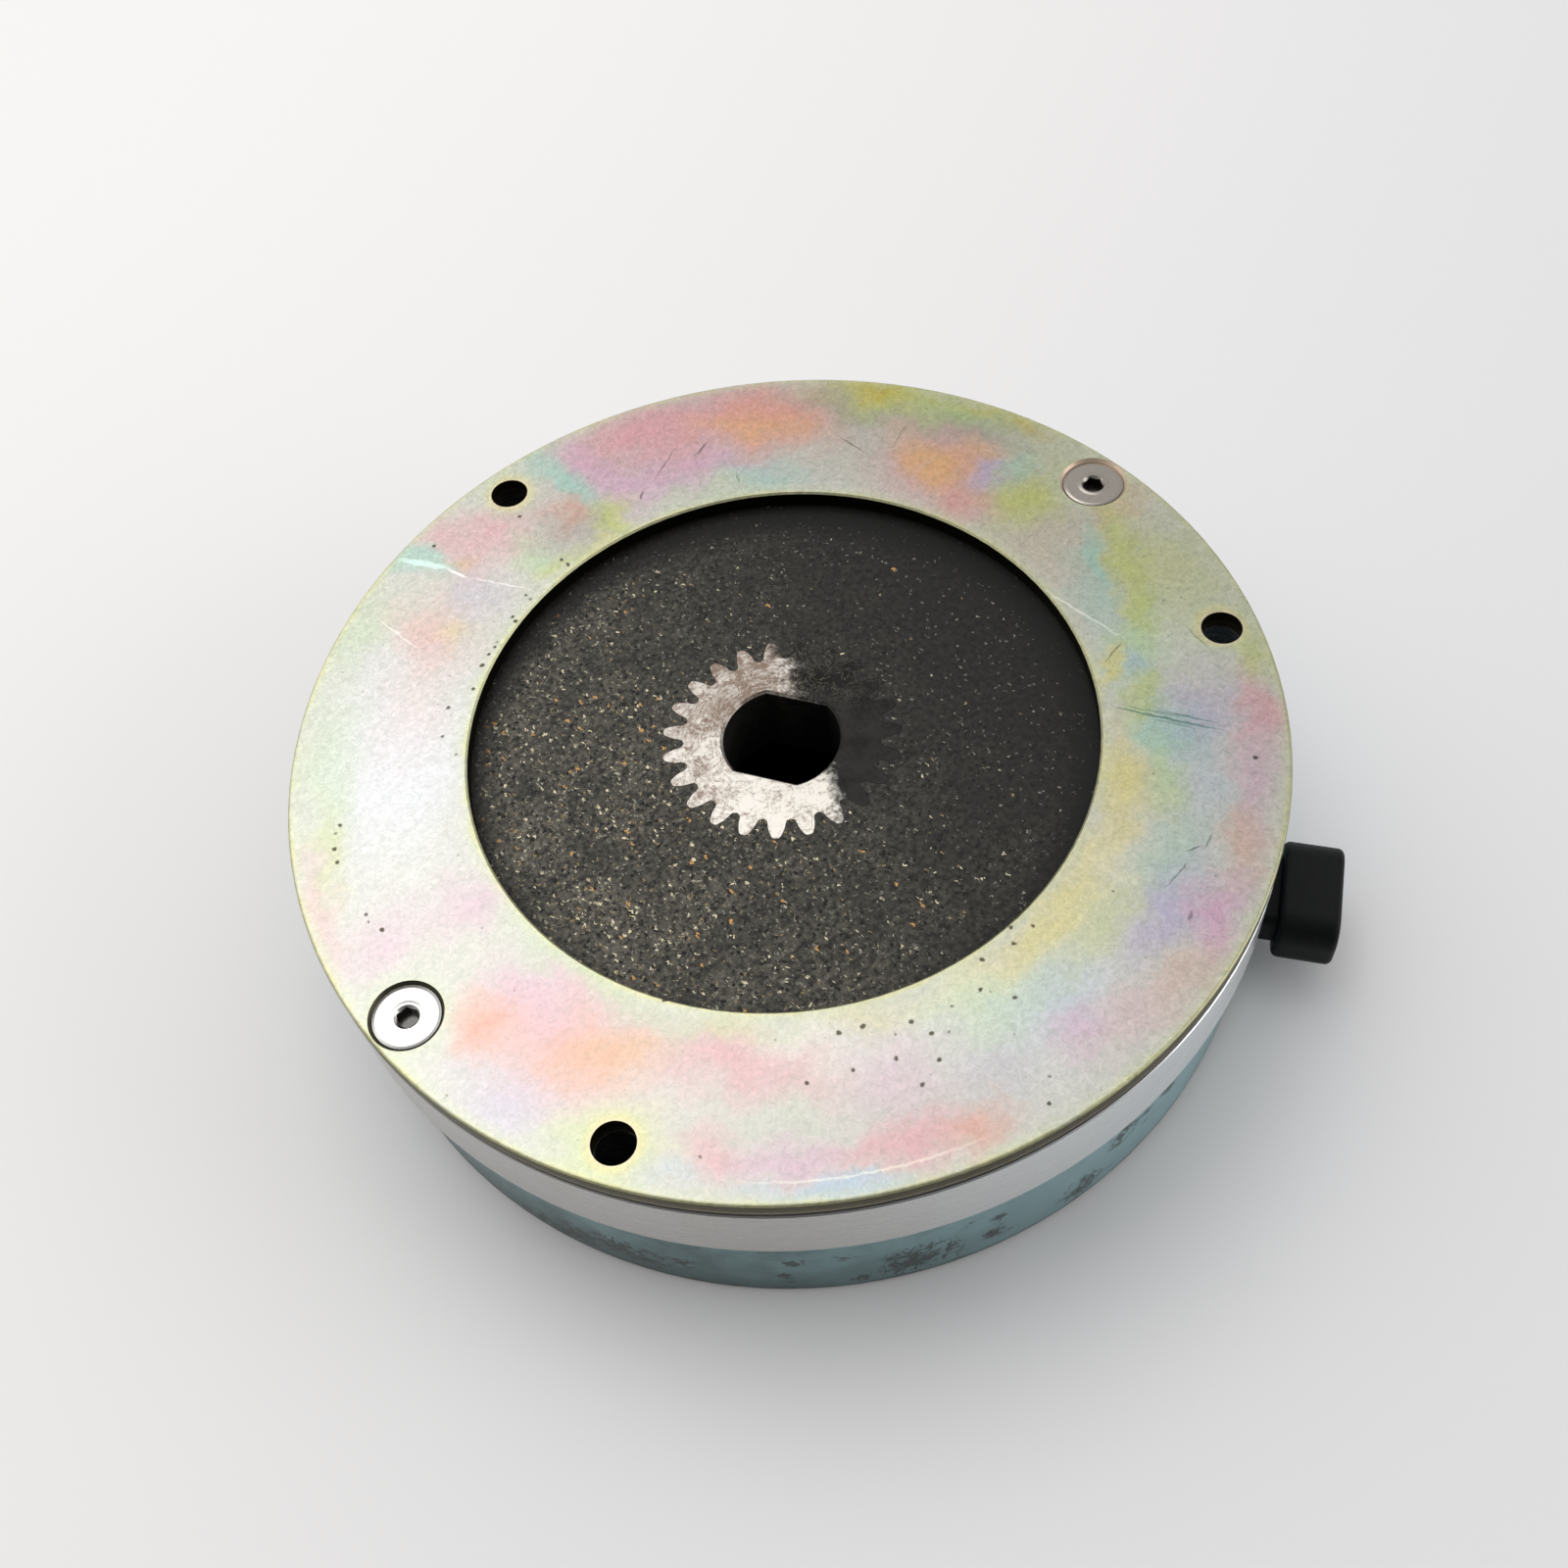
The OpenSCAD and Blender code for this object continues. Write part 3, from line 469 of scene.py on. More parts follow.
# Painted shade on the outer wall: its upper half is painted darkest, its lower half paler
wall_grain_mm = 1.6
wall_mid = rim_top * 1000 - 1.9 + wall_grain_mm / 2
wall_height = add(coat, "Math", "MULTIPLY_ADD", i0=mottle, i1=wall_grain_mm, i2=coat_where.outputs["Z"])
wall_share = add(coat, "MapRange", Value=wall_height, i1=wall_mid - 0.3, i2=wall_mid + 0.3, i3=0.0, i4=1.0)
wall_shade_tint = add(coat, "Mix", in_colour, i0=wall_share, i6=colour("#6f6654"), i7=colour("#3f3a22"))
# A long fine scratch that follows the rim, by its radius and middle in mm
arc_mm = 73.0
arc_middle_mm = (-39.5, -62.1, 0)
arc_radius = add(coat, "VectorMath", "LENGTH", i0=wavered)
arc_off = add(coat, "Math", "SUBTRACT", i0=arc_radius, i1=arc_mm)
arc_near = add(coat, "Math", "ABSOLUTE", i0=arc_off)
arc_line = add(coat, "MapRange", Value=arc_near, i1=0.06, i2=0.26, i3=0.24, i4=0.0)
arc_middle = add(coat, "VectorMath", "DISTANCE", i0=straight, i1=arc_middle_mm)
arc_reach = add(coat, "MapRange", Value=arc_middle, i1=8.0, i2=19.0, i3=1.0, i4=0.0)
arc = add(coat, "Math", "MULTIPLY", i0=arc_line, i1=arc_reach)


def stain(below, place, centre, length, width, direction, tint, strength, soft_from, soft_to):
    """An oval of colour over the colour below, that fades out from its middle."""
    local = add(coat, "Mapping", {"vector_type": "TEXTURE"}, Vector=place, Location=(*centre, 0),
                Rotation=(0, 0, math.radians(direction)), Scale=(length, width, 1))
    reach = add(coat, "VectorMath", "LENGTH", i0=local)
    share = add(coat, "MapRange", smoothly, Value=reach, i1=soft_from, i2=soft_to, i3=strength, i4=0.0)
    return add(coat, "Mix", in_colour, i0=share, i6=below, i7=colour(tint))


# How far a cloud's colour reaches, in its own half lengths, and what its edge or a pit may wander
cloud_edge = 1.45
cloud_margin_mm = 6
pit_margin_mm = 2


def coat_quarter(side_x, side_y):
    """The coat's shader for one quarter of the ring, with only the marks that reach into it."""
    def reaches(x, y, size):
        return side_x * x > -size and side_y * y > -size

    film = colour(coat_base)
    for x, y, length, width, direction, tint, strength in coat_clouds:
        if reaches(x, y, cloud_edge * max(length, width) + cloud_margin_mm):
            film = stain(film, shifted, (x, y), length, width, direction, film_tints[tint],
                         (strong_side if x > 0 else pale_side) * strength, 0.0, cloud_edge)
    for halo, tint in halos:
        film = add(coat, "Mix", in_colour, i0=halo, i6=film, i7=colour(tint))
    film = add(coat, "Mix", multiplied, i0=1.0, i6=film, i7=coat_painted_shade)
    film = add(coat, "Mix", multiplied, i0=0.75, i6=film, i7=mottle_tint)
    film = add(coat, "Mix", in_colour, i0=hairline_share, i6=film, i7=colour("#a8aaa2"))
    for x, y, length, width, direction, tint, strength in coat_scratches:
        if reaches(x, y, length + 1):
            film = stain(film, wavered, (x + waver_mean, y + waver_mean), length, width, direction, tint,
                         strength, 0.5, 1.1)
    pits = far_mm
    for index, (x, y) in enumerate(coat_pits):
        if reaches(x, y, pit_margin_mm):
            # A pit set off the plane shows smaller
            away = add(coat, "VectorMath", "DISTANCE", i0=wavered,
                       i1=(x + waver_mean, y + waver_mean, index % 4 * 0.1))
            pits = add(coat, "Math", "MINIMUM", i0=pits, i1=away)
    pit = add(coat, "MapRange", Value=pits, i1=pit_mm * 0.6, i2=pit_mm, i3=0.92, i4=0.0)
    for share, tint in [(arc, "#fffbe6"), (pit, "#4a4436"), (speck_share, "#6f6a5c"),
                        (wall, wall_shade_tint), (shaded_wall, "#26241c"), (sunk_painted_shade, "#1d1910"),
                        (sunk_painted_highlight, "#cdb6a2")]:
        tint = colour(tint) if isinstance(tint, str) else tint
        film = add(coat, "Mix", in_colour, i0=share, i6=film, i7=tint)
    return add(coat, "BsdfPrincipled", Base_Color=film, Metallic=1.0, Roughness=sheen, Normal=grain_bump)


# One shader with every mark is too long for the renderer, so each quarter of the ring has its own
right = add(coat, "Math", "GREATER_THAN", i0=coat_where.outputs["X"], i1=0.0)
back = add(coat, "Math", "GREATER_THAN", i0=coat_where.outputs["Y"], i1=0.0)
front_half = add(coat, "MixShader", i0=right, i1=coat_quarter(-1, -1), i2=coat_quarter(1, -1))
back_half = add(coat, "MixShader", i0=right, i1=coat_quarter(-1, 1), i2=coat_quarter(1, 1))
coat_whole = add(coat, "MixShader", i0=back, i1=front_half, i2=back_half)
add(coat, "OutputMaterial", Surface=coat_whole)
dress(nodes["flange_ring"], coat)

# Countersunk screws
# Bright plated socket screws with a turned flat head, sunk a little below the face.
screw_steel = new_material("bright_plated_screw")
screw_place = add(screw_steel, "TexCoord")
screw_mm = add(screw_steel, "VectorMath", "SCALE", i0=screw_place.outputs["Object"], Scale=1000.0)
# Fine grain of the plating, from 0.7 mm down
screw_noise = add(screw_steel, "TexNoise", Vector=screw_place.outputs["Object"], Scale=1400.0, Detail=3.0)
screw_where = add(screw_steel, "SeparateXYZ", Vector=screw_mm)
# Painted shade: the hexagon socket is painted dark, and so are the head's steep faces
socket_from_mm = rim_top * 1000 - 1.1
socket_to_mm = rim_top * 1000 - 0.6
socket_shade = add(screw_steel, "MapRange", Value=screw_where.outputs["Z"], i1=socket_from_mm,
                 i2=socket_to_mm, i3=0.9, i4=0.0)
screw_side = add(screw_steel, "SeparateXYZ", Vector=screw_place.outputs["Normal"])
screw_wall_shade = add(screw_steel, "MapRange", Value=screw_side.outputs["Z"], i1=0.1, i2=0.6, i3=0.75, i4=0.0)
screw_painted_shade = add(screw_steel, "Math", "MAXIMUM", i0=socket_shade, i1=screw_wall_shade)
# One of the two screws is duller than the other
screw_dull = add(screw_steel, "MapRange", Value=screw_where.outputs["X"], i1=-10.0, i2=10.0, i3=0.0,
                 i4=1.0)
screw_clean = add(screw_steel, "Mix", in_colour, i0=screw_dull, i6=colour("#cfcdca"), i7=colour("#9a948c"))
screw_tint = add(screw_steel, "Mix", in_colour, i0=screw_painted_shade, i6=screw_clean, i7=colour("#35332f"))
screw_rough = add(screw_steel, "MapRange", Value=screw_noise, i1=0.3, i2=0.7, i3=0.2, i4=0.28)
# The head's edge is rounded, and a shallow ring is pressed round the socket
screw_folded = add(screw_steel, "VectorMath", "ABSOLUTE", i0=screw_mm)
screw_plan = add(screw_steel, "VectorMath", "MULTIPLY", i0=screw_folded, i1=(1, 1, 0))
screw_radius = add(screw_steel, "VectorMath", "DISTANCE", i0=screw_plan, i1=(hole_circle_mm, 0, 0))
head_edge = add(screw_steel, "MapRange", smoothly, Value=screw_radius, i1=4.45, i2=5.15, i3=0.0, i4=-1.0)
ring_out = add(screw_steel, "MapRange", smoothly, Value=screw_radius, i1=2.1, i2=2.7, i3=0.45, i4=0.0)
head_shape = add(screw_steel, "Math", "ADD", i0=head_edge, i1=ring_out)
head_bump = add(screw_steel, "Bump", Strength=1.0, Distance=0.0002, Height=head_shape)
screw_bump = add(screw_steel, "Bump", Strength=0.12, Distance=0.00002, Height=screw_noise,
                 Normal=head_bump)
screw_shader = add(screw_steel, "BsdfPrincipled", Base_Color=screw_tint, Metallic=1.0,
                   Roughness=screw_rough, Normal=screw_bump)
add(screw_steel, "OutputMaterial", Surface=screw_shader)
dress(nodes["flange_screws"], screw_steel)

# Gasket
# Thin black sheet under the flange, seen as a dark line round the brake.


def plain(name, dark, light, grain, metallic, rough, bump=0.2, depth=0.00004, stretch=(1, 1, 1),
          specular=0.5):
    """A material of two close tones in a grain of the given number per mm, with a fine bump."""
    material = new_material(name)
    place = add(material, "TexCoord")
    scaled = add(material, "Mapping", Vector=place.outputs["Object"], Scale=[1000 * v for v in stretch])
    noise = add(material, "TexNoise", Vector=scaled, Scale=grain, Detail=3.0, Roughness=0.6)
    share = add(material, "MapRange", Value=noise, i1=0.3, i2=0.7, i3=0.0, i4=1.0)
    tint = add(material, "Mix", in_colour, i0=share, i6=colour(dark), i7=colour(light))
    gloss = add(material, "MapRange", Value=noise, i1=0.3, i2=0.7, i3=rough + 0.06, i4=rough - 0.06)
    relief = add(material, "Bump", Strength=bump, Distance=depth, Height=noise)
    shader = add(material, "BsdfPrincipled", Base_Color=tint, Metallic=metallic, Roughness=gloss,
                 Normal=relief)
    shader.inputs["Specular IOR Level"].default_value = specular
    add(material, "OutputMaterial", Surface=shader)
    return material


dress(nodes["flange_gasket"], plain("black_gasket_sheet", "#090908", "#1b1a18", 0.8, 0.0, 0.75))

# Spacer ring
# Turned and polished steel band, satin along the turning marks: a pale grey band in the photo.
turned = new_material("polished_turned_steel")
turned_place = add(turned, "TexCoord")
# Turning marks 0.2 mm apart, about twice as coarse as real ones so that they show, and clouds of 11 mm
turned_lines = add(turned, "Mapping", Vector=turned_place.outputs["Object"], Scale=(12, 12, 4500))
turned_noise = add(turned, "TexNoise", Vector=turned_lines, Scale=1.0, Detail=3.0)
turned_cloud = add(turned, "TexNoise", Vector=turned_place.outputs["Object"], Scale=90.0, Detail=4.0)
turned_tint = add(turned, "Mix", in_colour, i0=turned_noise, i6=colour("#b2b0ad"), i7=colour("#c3c1be"))
turned_warm = add(turned, "MapRange", Value=turned_cloud, i1=0.5, i2=0.75, i3=0.0, i4=0.3)
turned_tinted = add(turned, "Mix", in_colour, i0=turned_warm, i6=turned_tint, i7=colour("#b1a89c"))
# Painted light: the wall is painted brighter on the connector's side
lit_side_axis = (0.574, -0.819, 0)
turned_lit_side = add(turned, "VectorMath", "DOT_PRODUCT", i0=turned_place.outputs["Object"], i1=lit_side_axis)
turned_painted_light = add(turned, "MapRange", smoothly, Value=turned_lit_side, i1=0.01, i2=0.07, i3=0.0, i4=0.9)
turned_bright = add(turned, "Mix", in_colour, i0=turned_painted_light, i6=turned_tinted, i7=colour("#f0f3f5"))
turned_rough = add(turned, "MapRange", Value=turned_noise, i1=0.3, i2=0.7, i3=0.22, i4=0.34)
turned_shader = add(turned, "BsdfPrincipled", Base_Color=turned_bright, Metallic=1.0,
                    Roughness=turned_rough)
add(turned, "OutputMaterial", Surface=turned_shader)
dress(nodes["spacer_ring"], turned)

# Friction disc
# Moulded brake composite: dark resin and rubber filled with brass chips and pale mineral grains. One
# side is painted darker, with fewer pale chips, as painted shade; the edge under the flange is painted
# shadow.
composite = new_material("friction_composite")
composite_place = add(composite, "TexCoord")
composite_mm = add(composite, "VectorMath", "SCALE", i0=composite_place.outputs["Object"], Scale=1000.0)
# Painted light: the disc is painted lighter, with more pale chips, towards one side
lit_axis = add(composite, "VectorMath", "DOT_PRODUCT", i0=composite_mm, i1=(-0.9, 0.2, 0))
lit = add(composite, "MapRange", smoothly, Value=lit_axis, i1=-42.0, i2=40.0, i3=0.0, i4=1.0)
# Clouds 9 mm across, and a grain from 0.9 mm down
composite_cloud = add(composite, "TexNoise", Vector=composite_mm, Scale=0.11, Detail=6.0, Roughness=0.65)
composite_grain = add(composite, "TexNoise", Vector=composite_mm, Scale=1.1, Detail=6.0, Roughness=0.82)
composite_share = add(composite, "MapRange", Value=composite_grain, i1=0.41, i2=0.61, i3=0.0, i4=1.0)
composite_dim = add(composite, "Mix", in_colour, i0=composite_share, i6=colour("#0b0a09"),
                    i7=colour("#25231e"))
composite_bright = add(composite, "Mix", in_colour, i0=composite_share, i6=colour("#1f1e1b"),
                       i7=colour("#726d61"))
composite_tone = add(composite, "Mix", in_colour, i0=lit, i6=composite_dim, i7=composite_bright)
composite_patch = add(composite, "MapRange", Value=composite_cloud, i1=0.35, i2=0.65, i3=0.5, i4=0.0)
layer = add(composite, "Mix", in_colour, i0=composite_patch, i6=composite_tone, i7=colour("#1c1b19"))
# Flecks: cells per mm, size in cells, share of cells at the dim and at the lit side, stretch, direction
# in degrees, colour
flecks = [
    (1.6, 0.26, 0.05, 0.24, 1.2, 0, "#6b6760"),
    (1.4, 0.24, 0.02, 0.15, 1.5, 37, "#8a8679"),
    (1.1, 0.29, 0.12, 0.22, 1.0, 71, "#0b0b0a"),
    (1.15, 0.23, 0.004, 0.11, 1.7, 18, "#b3ac96"),
    (1.0, 0.22, 0.003, 0.09, 2.2, 74, "#a08a5c"),
    (0.8, 0.23, 0.0, 0.09, 2.0, 131, "#e4d8b4"),
    (0.4, 0.18, 0.0, 0.07, 2.4, 98, "#c8985a"),
]
# The chips are ragged, and lie thicker in some places than in others
ragged = add(composite, "TexNoise", Vector=composite_mm, Scale=2.2, Detail=2.0)
ragged_by = add(composite, "VectorMath", "MULTIPLY_ADD", i0=ragged.outputs["Color"], i1=(1.3, 1.3, 0.0),
                i2=composite_mm)
crowded = add(composite, "MapRange", Value=composite_cloud, i1=0.38, i2=0.62, i3=0.45, i4=1.35)
deep_lit = add(composite, "Math", "POWER", i0=lit, i1=2.1)
rich = add(composite, "Math", "MULTIPLY", i0=deep_lit, i1=crowded)
for density, size, dim_share, lit_share, stretch, direction, tint in flecks:
    cells = add(composite, "Mapping", Vector=ragged_by, Location=(direction, direction * 3, 0),
                Rotation=(0, 0, math.radians(direction)), Scale=(density * stretch, density, 0.3))
    cell = add(composite, "TexVoronoi", {"voronoi_dimensions": "2D"}, Vector=cells, Scale=1.0)
    near = add(composite, "Math", "LESS_THAN", i0=cell.outputs["Distance"], i1=size)
    chance = add(composite, "SeparateColor", i0=cell.outputs["Color"])
    odds = add(composite, "MapRange", {"clamp": False}, Value=rich, i1=0.0, i2=1.0, i3=dim_share,
               i4=lit_share)
    picked = add(composite, "Math", "LESS_THAN", i0=chance, i1=odds)
    mask = add(composite, "Math", "MULTIPLY", i0=near, i1=picked)
    layer = add(composite, "Mix", in_colour, i0=mask, i6=layer, i7=colour(tint))
# Painted shadow: the edge under the flange is painted darker
rim_shadow_centre_mm = (-2.4, -1.8, 32.6)
rim_shadow_away = add(composite, "VectorMath", "DISTANCE", i0=composite_mm, i1=rim_shadow_centre_mm)
rim_painted_shadow = add(composite, "MapRange", smoothly, Value=rim_shadow_away, i1=43.0, i2=48.5, i3=0.0, i4=0.85)
layer = add(composite, "Mix", in_colour, i0=rim_painted_shadow, i6=layer, i7=colour("#0c0b0a"))
composite_bump = add(composite, "Bump", Strength=0.35, Distance=0.00008, Height=composite_grain)
composite_shader = add(composite, "BsdfPrincipled", Base_Color=layer, Roughness=0.55,
                       Normal=composite_bump)
composite_shader.inputs["Specular IOR Level"].default_value = 0.22
add(composite, "OutputMaterial", Surface=composite_shader)
dress(nodes["friction_disc"], composite)

# Drive hub
# Machined steel, ground bright on its face, with brown marks from handling. A dark patch covers about
# a third of it, and its bore is painted black as painted shade.
hub_steel = new_material("ground_hub_steel")
hub_place = add(hub_steel, "TexCoord")
hub_mm = add(hub_steel, "VectorMath", "SCALE", i0=hub_place.outputs["Object"], Scale=1000.0)
# Marks from 1.1 mm down, and clouds 6 mm across
hub_marks = add(hub_steel, "TexNoise", Vector=hub_mm, Scale=0.9, Detail=5.0, Roughness=0.75)
hub_cloud = add(hub_steel, "TexNoise", Vector=hub_mm, Scale=0.16, Detail=3.0)
hub_worn = add(hub_steel, "Math", "ADD", i0=hub_marks, i1=hub_cloud)
hub_axis = add(hub_steel, "VectorMath", "DOT_PRODUCT", i0=hub_mm, i1=(0.004, 0.011, 0))
hub_browned = add(hub_steel, "Math", "SUBTRACT", i0=hub_worn, i1=hub_axis)
# The edge of the dark patch, as a distance in mm from a line across the hub
dark_patch_axis = add(hub_steel, "VectorMath", "DOT_PRODUCT", i0=hub_mm, i1=(0.904, -0.429, 0))
dark_patch_edge = add(hub_steel, "Math", "MULTIPLY_ADD", i0=hub_worn, i1=-9.0, i2=dark_patch_axis)
dark_patch = add(hub_steel, "MapRange", smoothly, Value=dark_patch_edge, i1=-6.6, i2=-2.6, i3=0.0, i4=0.97)
# Turned rings under the brown marks, drawn about 0.8 mm apart so that they show
hub_turned = add(hub_steel, "TexWave", {"wave_type": "RINGS", "rings_direction": "Z"}, Vector=hub_mm,
                 Scale=0.4, Distortion=7.0, Detail=3.0, Detail_Scale=1.2)
hub_ringed = add(hub_steel, "Math", "MULTIPLY_ADD", i0=hub_turned.outputs["Fac"], i1=0.09, i2=hub_browned)
# Brown handling marks wander over the face as fine veins
vein_noise = add(hub_steel, "TexNoise", Vector=hub_mm, Scale=0.3, Detail=5.0, Roughness=0.7,
                 Distortion=1.0)
vein_off = add(hub_steel, "Math", "SUBTRACT", i0=vein_noise, i1=0.5)
vein_near = add(hub_steel, "Math", "ABSOLUTE", i0=vein_off)
vein = add(hub_steel, "MapRange", Value=vein_near, i1=0.0, i2=0.045, i3=-0.28, i4=0.0)
hub_veined = add(hub_steel, "Math", "ADD", i0=hub_ringed, i1=vein)
hub_share = add(hub_steel, "MapRange", Value=hub_veined, i1=0.7, i2=1.16, i3=0.0, i4=1.0)
hub_tint = add(hub_steel, "Mix", in_colour, i0=hub_share, i6=colour("#75655a"), i7=colour("#c6c1b9"))
# Pale fibres lie in the dark patch
fibre_noise = add(hub_steel, "TexNoise", Vector=hub_mm, Scale=0.55, Detail=4.0, Roughness=0.6,
                  Distortion=1.4)
fibre_off = add(hub_steel, "Math", "SUBTRACT", i0=fibre_noise, i1=0.5)
fibre_near = add(hub_steel, "Math", "ABSOLUTE", i0=fibre_off)
fibre_line = add(hub_steel, "MapRange", Value=fibre_near, i1=0.004, i2=0.022, i3=0.5, i4=0.0)
fibre_axis = add(hub_steel, "VectorMath", "DOT_PRODUCT", i0=hub_mm, i1=(0.5, 0.85, 0))
fibre_side = add(hub_steel, "MapRange", Value=fibre_axis, i1=2.0, i2=9.0, i3=0.05, i4=1.0)
fibre = add(hub_steel, "Math", "MULTIPLY", i0=fibre_line, i1=fibre_side)
dark_patch_cloud = add(hub_steel, "MapRange", Value=hub_cloud, i1=0.35, i2=0.65, i3=0.0, i4=1.0)
dark_patch_tone = add(hub_steel, "Mix", in_colour, i0=dark_patch_cloud, i6=colour("#070706"), i7=colour("#1e1d1b"))
dark_patch_tint = add(hub_steel, "Mix", in_colour, i0=fibre, i6=dark_patch_tone, i7=colour("#7d7b69"))
hub_with_patch = add(hub_steel, "Mix", in_colour, i0=dark_patch, i6=hub_tint, i7=dark_patch_tint)
hub_facing = add(hub_steel, "SeparateXYZ", Vector=hub_place.outputs["Normal"])
hub_upright = add(hub_steel, "Math", "ABSOLUTE", i0=hub_facing.outputs["Z"])
hub_flat = add(hub_steel, "VectorMath", "MULTIPLY", i0=hub_mm, i1=(1, 1, 0))
hub_radius = add(hub_steel, "VectorMath", "LENGTH", i0=hub_flat)
# Painted shade: the bore's wall is painted black
bore_wall_shade = add(hub_steel, "MapRange", Value=hub_upright, i1=0.3, i2=0.5, i3=0.97, i4=0.0)
shaft_bore_mm = 9.25
bore_near = add(hub_steel, "Math", "LESS_THAN", i0=hub_radius, i1=shaft_bore_mm + 0.35)
bore_painted_shade = add(hub_steel, "Math", "MULTIPLY", i0=bore_wall_shade, i1=bore_near)
hub_final = add(hub_steel, "Mix", in_colour, i0=bore_painted_shade, i6=hub_with_patch, i7=colour("#0a0a09"))
hub_hidden = add(hub_steel, "Math", "MAXIMUM", i0=dark_patch, i1=bore_painted_shade)
hub_metal = add(hub_steel, "MapRange", Value=hub_hidden, i1=0.0, i2=0.97, i3=1.0, i4=0.1)
hub_gloss = add(hub_steel, "MapRange", Value=hub_hidden, i1=0.0, i2=0.97, i3=0.36, i4=0.7)
hub_bump = add(hub_steel, "Bump", Strength=0.35, Distance=0.00006, Height=hub_marks)
hub_shader = add(hub_steel, "BsdfPrincipled", Base_Color=hub_final, Metallic=hub_metal,
                 Roughness=hub_gloss, Normal=hub_bump)
hub_shader.inputs["Specular IOR Level"].default_value = 0.2
add(hub_steel, "OutputMaterial", Surface=hub_shader)
dress(nodes["drive_hub"], hub_steel)

# Magnet body
# Turned steel pot with a blue-green passivated zinc coat, knocked dark in places and stained black
# along its lower edge; its bore is painted black as painted shade.
blue = new_material("blue_zinc_coat")
blue_place = add(blue, "TexCoord")
blue_mm = add(blue, "VectorMath", "SCALE", i0=blue_place.outputs["Object"], Scale=1000.0)
# Clouds 10 mm across, and streaks that run round the body, 3 mm long and 0.4 mm high
blue_cloud = add(blue, "TexNoise", Vector=blue_mm, Scale=0.1, Detail=5.0, Roughness=0.6)
blue_share = add(blue, "MapRange", Value=blue_cloud, i1=0.35, i2=0.65, i3=0.0, i4=1.0)
blue_tint = add(blue, "Mix", in_colour, i0=blue_share, i6=colour("#4e6c6f"), i7=colour("#7c9fa3"))
blue_lines = add(blue, "Mapping", Vector=blue_mm, Scale=(0.09, 0.09, 0.6))
blue_streaks = add(blue, "TexNoise", Vector=blue_lines, Scale=4.0, Detail=4.0, Roughness=0.7)
blue_streaked = add(blue, "MapRange", Value=blue_streaks, i1=0.35, i2=0.7, i3=0.3, i4=0.0)
blue_dirty = add(blue, "Mix", in_colour, i0=blue_streaked, i6=blue_tint, i7=colour("#44585a"))
# Knocks and scuffs, by angle and height on the body, and their reach in mm
body_knocks = [
    (-163, 3, 6), (-158, 6, 5), (-153, 8, 5), (-149, 6.5, 5), (-144.4, 8, 3), (-132, 12.6, 2.2),
    (-133, 7, 2), (-125, 3.6, 2), (-118, 6.5, 8), (-109.5, 6.6, 2.4), (-109, 12, 2), (-92, 13.4, 4),
    (-98, 5.4, 5), (-84, 14, 3), (-30, 7, 4), (14, 15, 3), (47, 6, 4), (103, 14, 2.4), (131, 4, 4),
    (171, 12, 3),
]
knock_reach = 0.0
for angle, height_mm, size_mm in body_knocks:
    around = math.radians(angle)
    spot = (body_high[0] * 1000 * math.cos(around), body_high[0] * 1000 * math.sin(around), height_mm)
    away = add(blue, "VectorMath", "DISTANCE", i0=blue_mm, i1=spot)
    near = add(blue, "MapRange", Value=away, i1=0.2 * size_mm, i2=size_mm, i3=1.0, i4=0.0)
    knock_reach = add(blue, "Math", "MAXIMUM", i0=near, i1=knock_reach)
# Each is a tangle of thin dark lines with a few solid specks
tangle = add(blue, "TexNoise", Vector=blue_mm, Scale=0.33, Detail=5.0, Roughness=0.65, Distortion=0.6)
tangle_off = add(blue, "Math", "SUBTRACT", i0=tangle, i1=0.5)
tangle_near = add(blue, "Math", "ABSOLUTE", i0=tangle_off)
tangle_width = add(blue, "Math", "MULTIPLY_ADD", i0=knock_reach, i1=0.058, i2=0.001)
tangle_line = add(blue, "Math", "LESS_THAN", i0=tangle_near, i1=tangle_width)
tangle_seen = add(blue, "MapRange", Value=knock_reach, i1=0.0, i2=0.35, i3=0.0, i4=0.85)
tangle_share = add(blue, "Math", "MULTIPLY", i0=tangle_line, i1=tangle_seen)
knock_place = add(blue, "Mapping", Vector=blue_mm, Scale=(0.16, 0.16, 0.34))
knock_noise = add(blue, "TexNoise", Vector=knock_place, Scale=1.0, Detail=6.0, Roughness=0.72)
knock_level = add(blue, "Math", "MULTIPLY_ADD", i0=knock_reach, i1=0.1, i2=knock_noise)
knock_speck = add(blue, "MapRange", Value=knock_level, i1=0.61, i2=0.66, i3=0.0, i4=0.85)
knock = add(blue, "Math", "MAXIMUM", i0=knock_speck, i1=tangle_share)
# Painted shade: the coat is painted darker towards the bench
blue_where = add(blue, "SeparateXYZ", Vector=blue_mm)
blue_low_shade = add(blue, "MapRange", smoothly, Value=blue_where.outputs["Z"], i1=0.0, i2=17.0, i3=0.7, i4=0.0)
blue_shaded_low = add(blue, "Mix", in_colour, i0=blue_low_shade, i6=blue_dirty, i7=colour("#354f4e"))
# Painted light: it is painted paler on the connector's side
blue_lit_side = add(blue, "VectorMath", "DOT_PRODUCT", i0=blue_mm, i1=lit_side_axis)
blue_painted_light = add(blue, "MapRange", smoothly, Value=blue_lit_side, i1=10.0, i2=70.0, i3=0.0, i4=0.52)
blue_lit = add(blue, "Mix", in_colour, i0=blue_painted_light, i6=blue_shaded_low, i7=colour("#aed6dd"))
blue_knocked = add(blue, "Mix", in_colour, i0=knock, i6=blue_lit, i7=colour("#0d1514"))
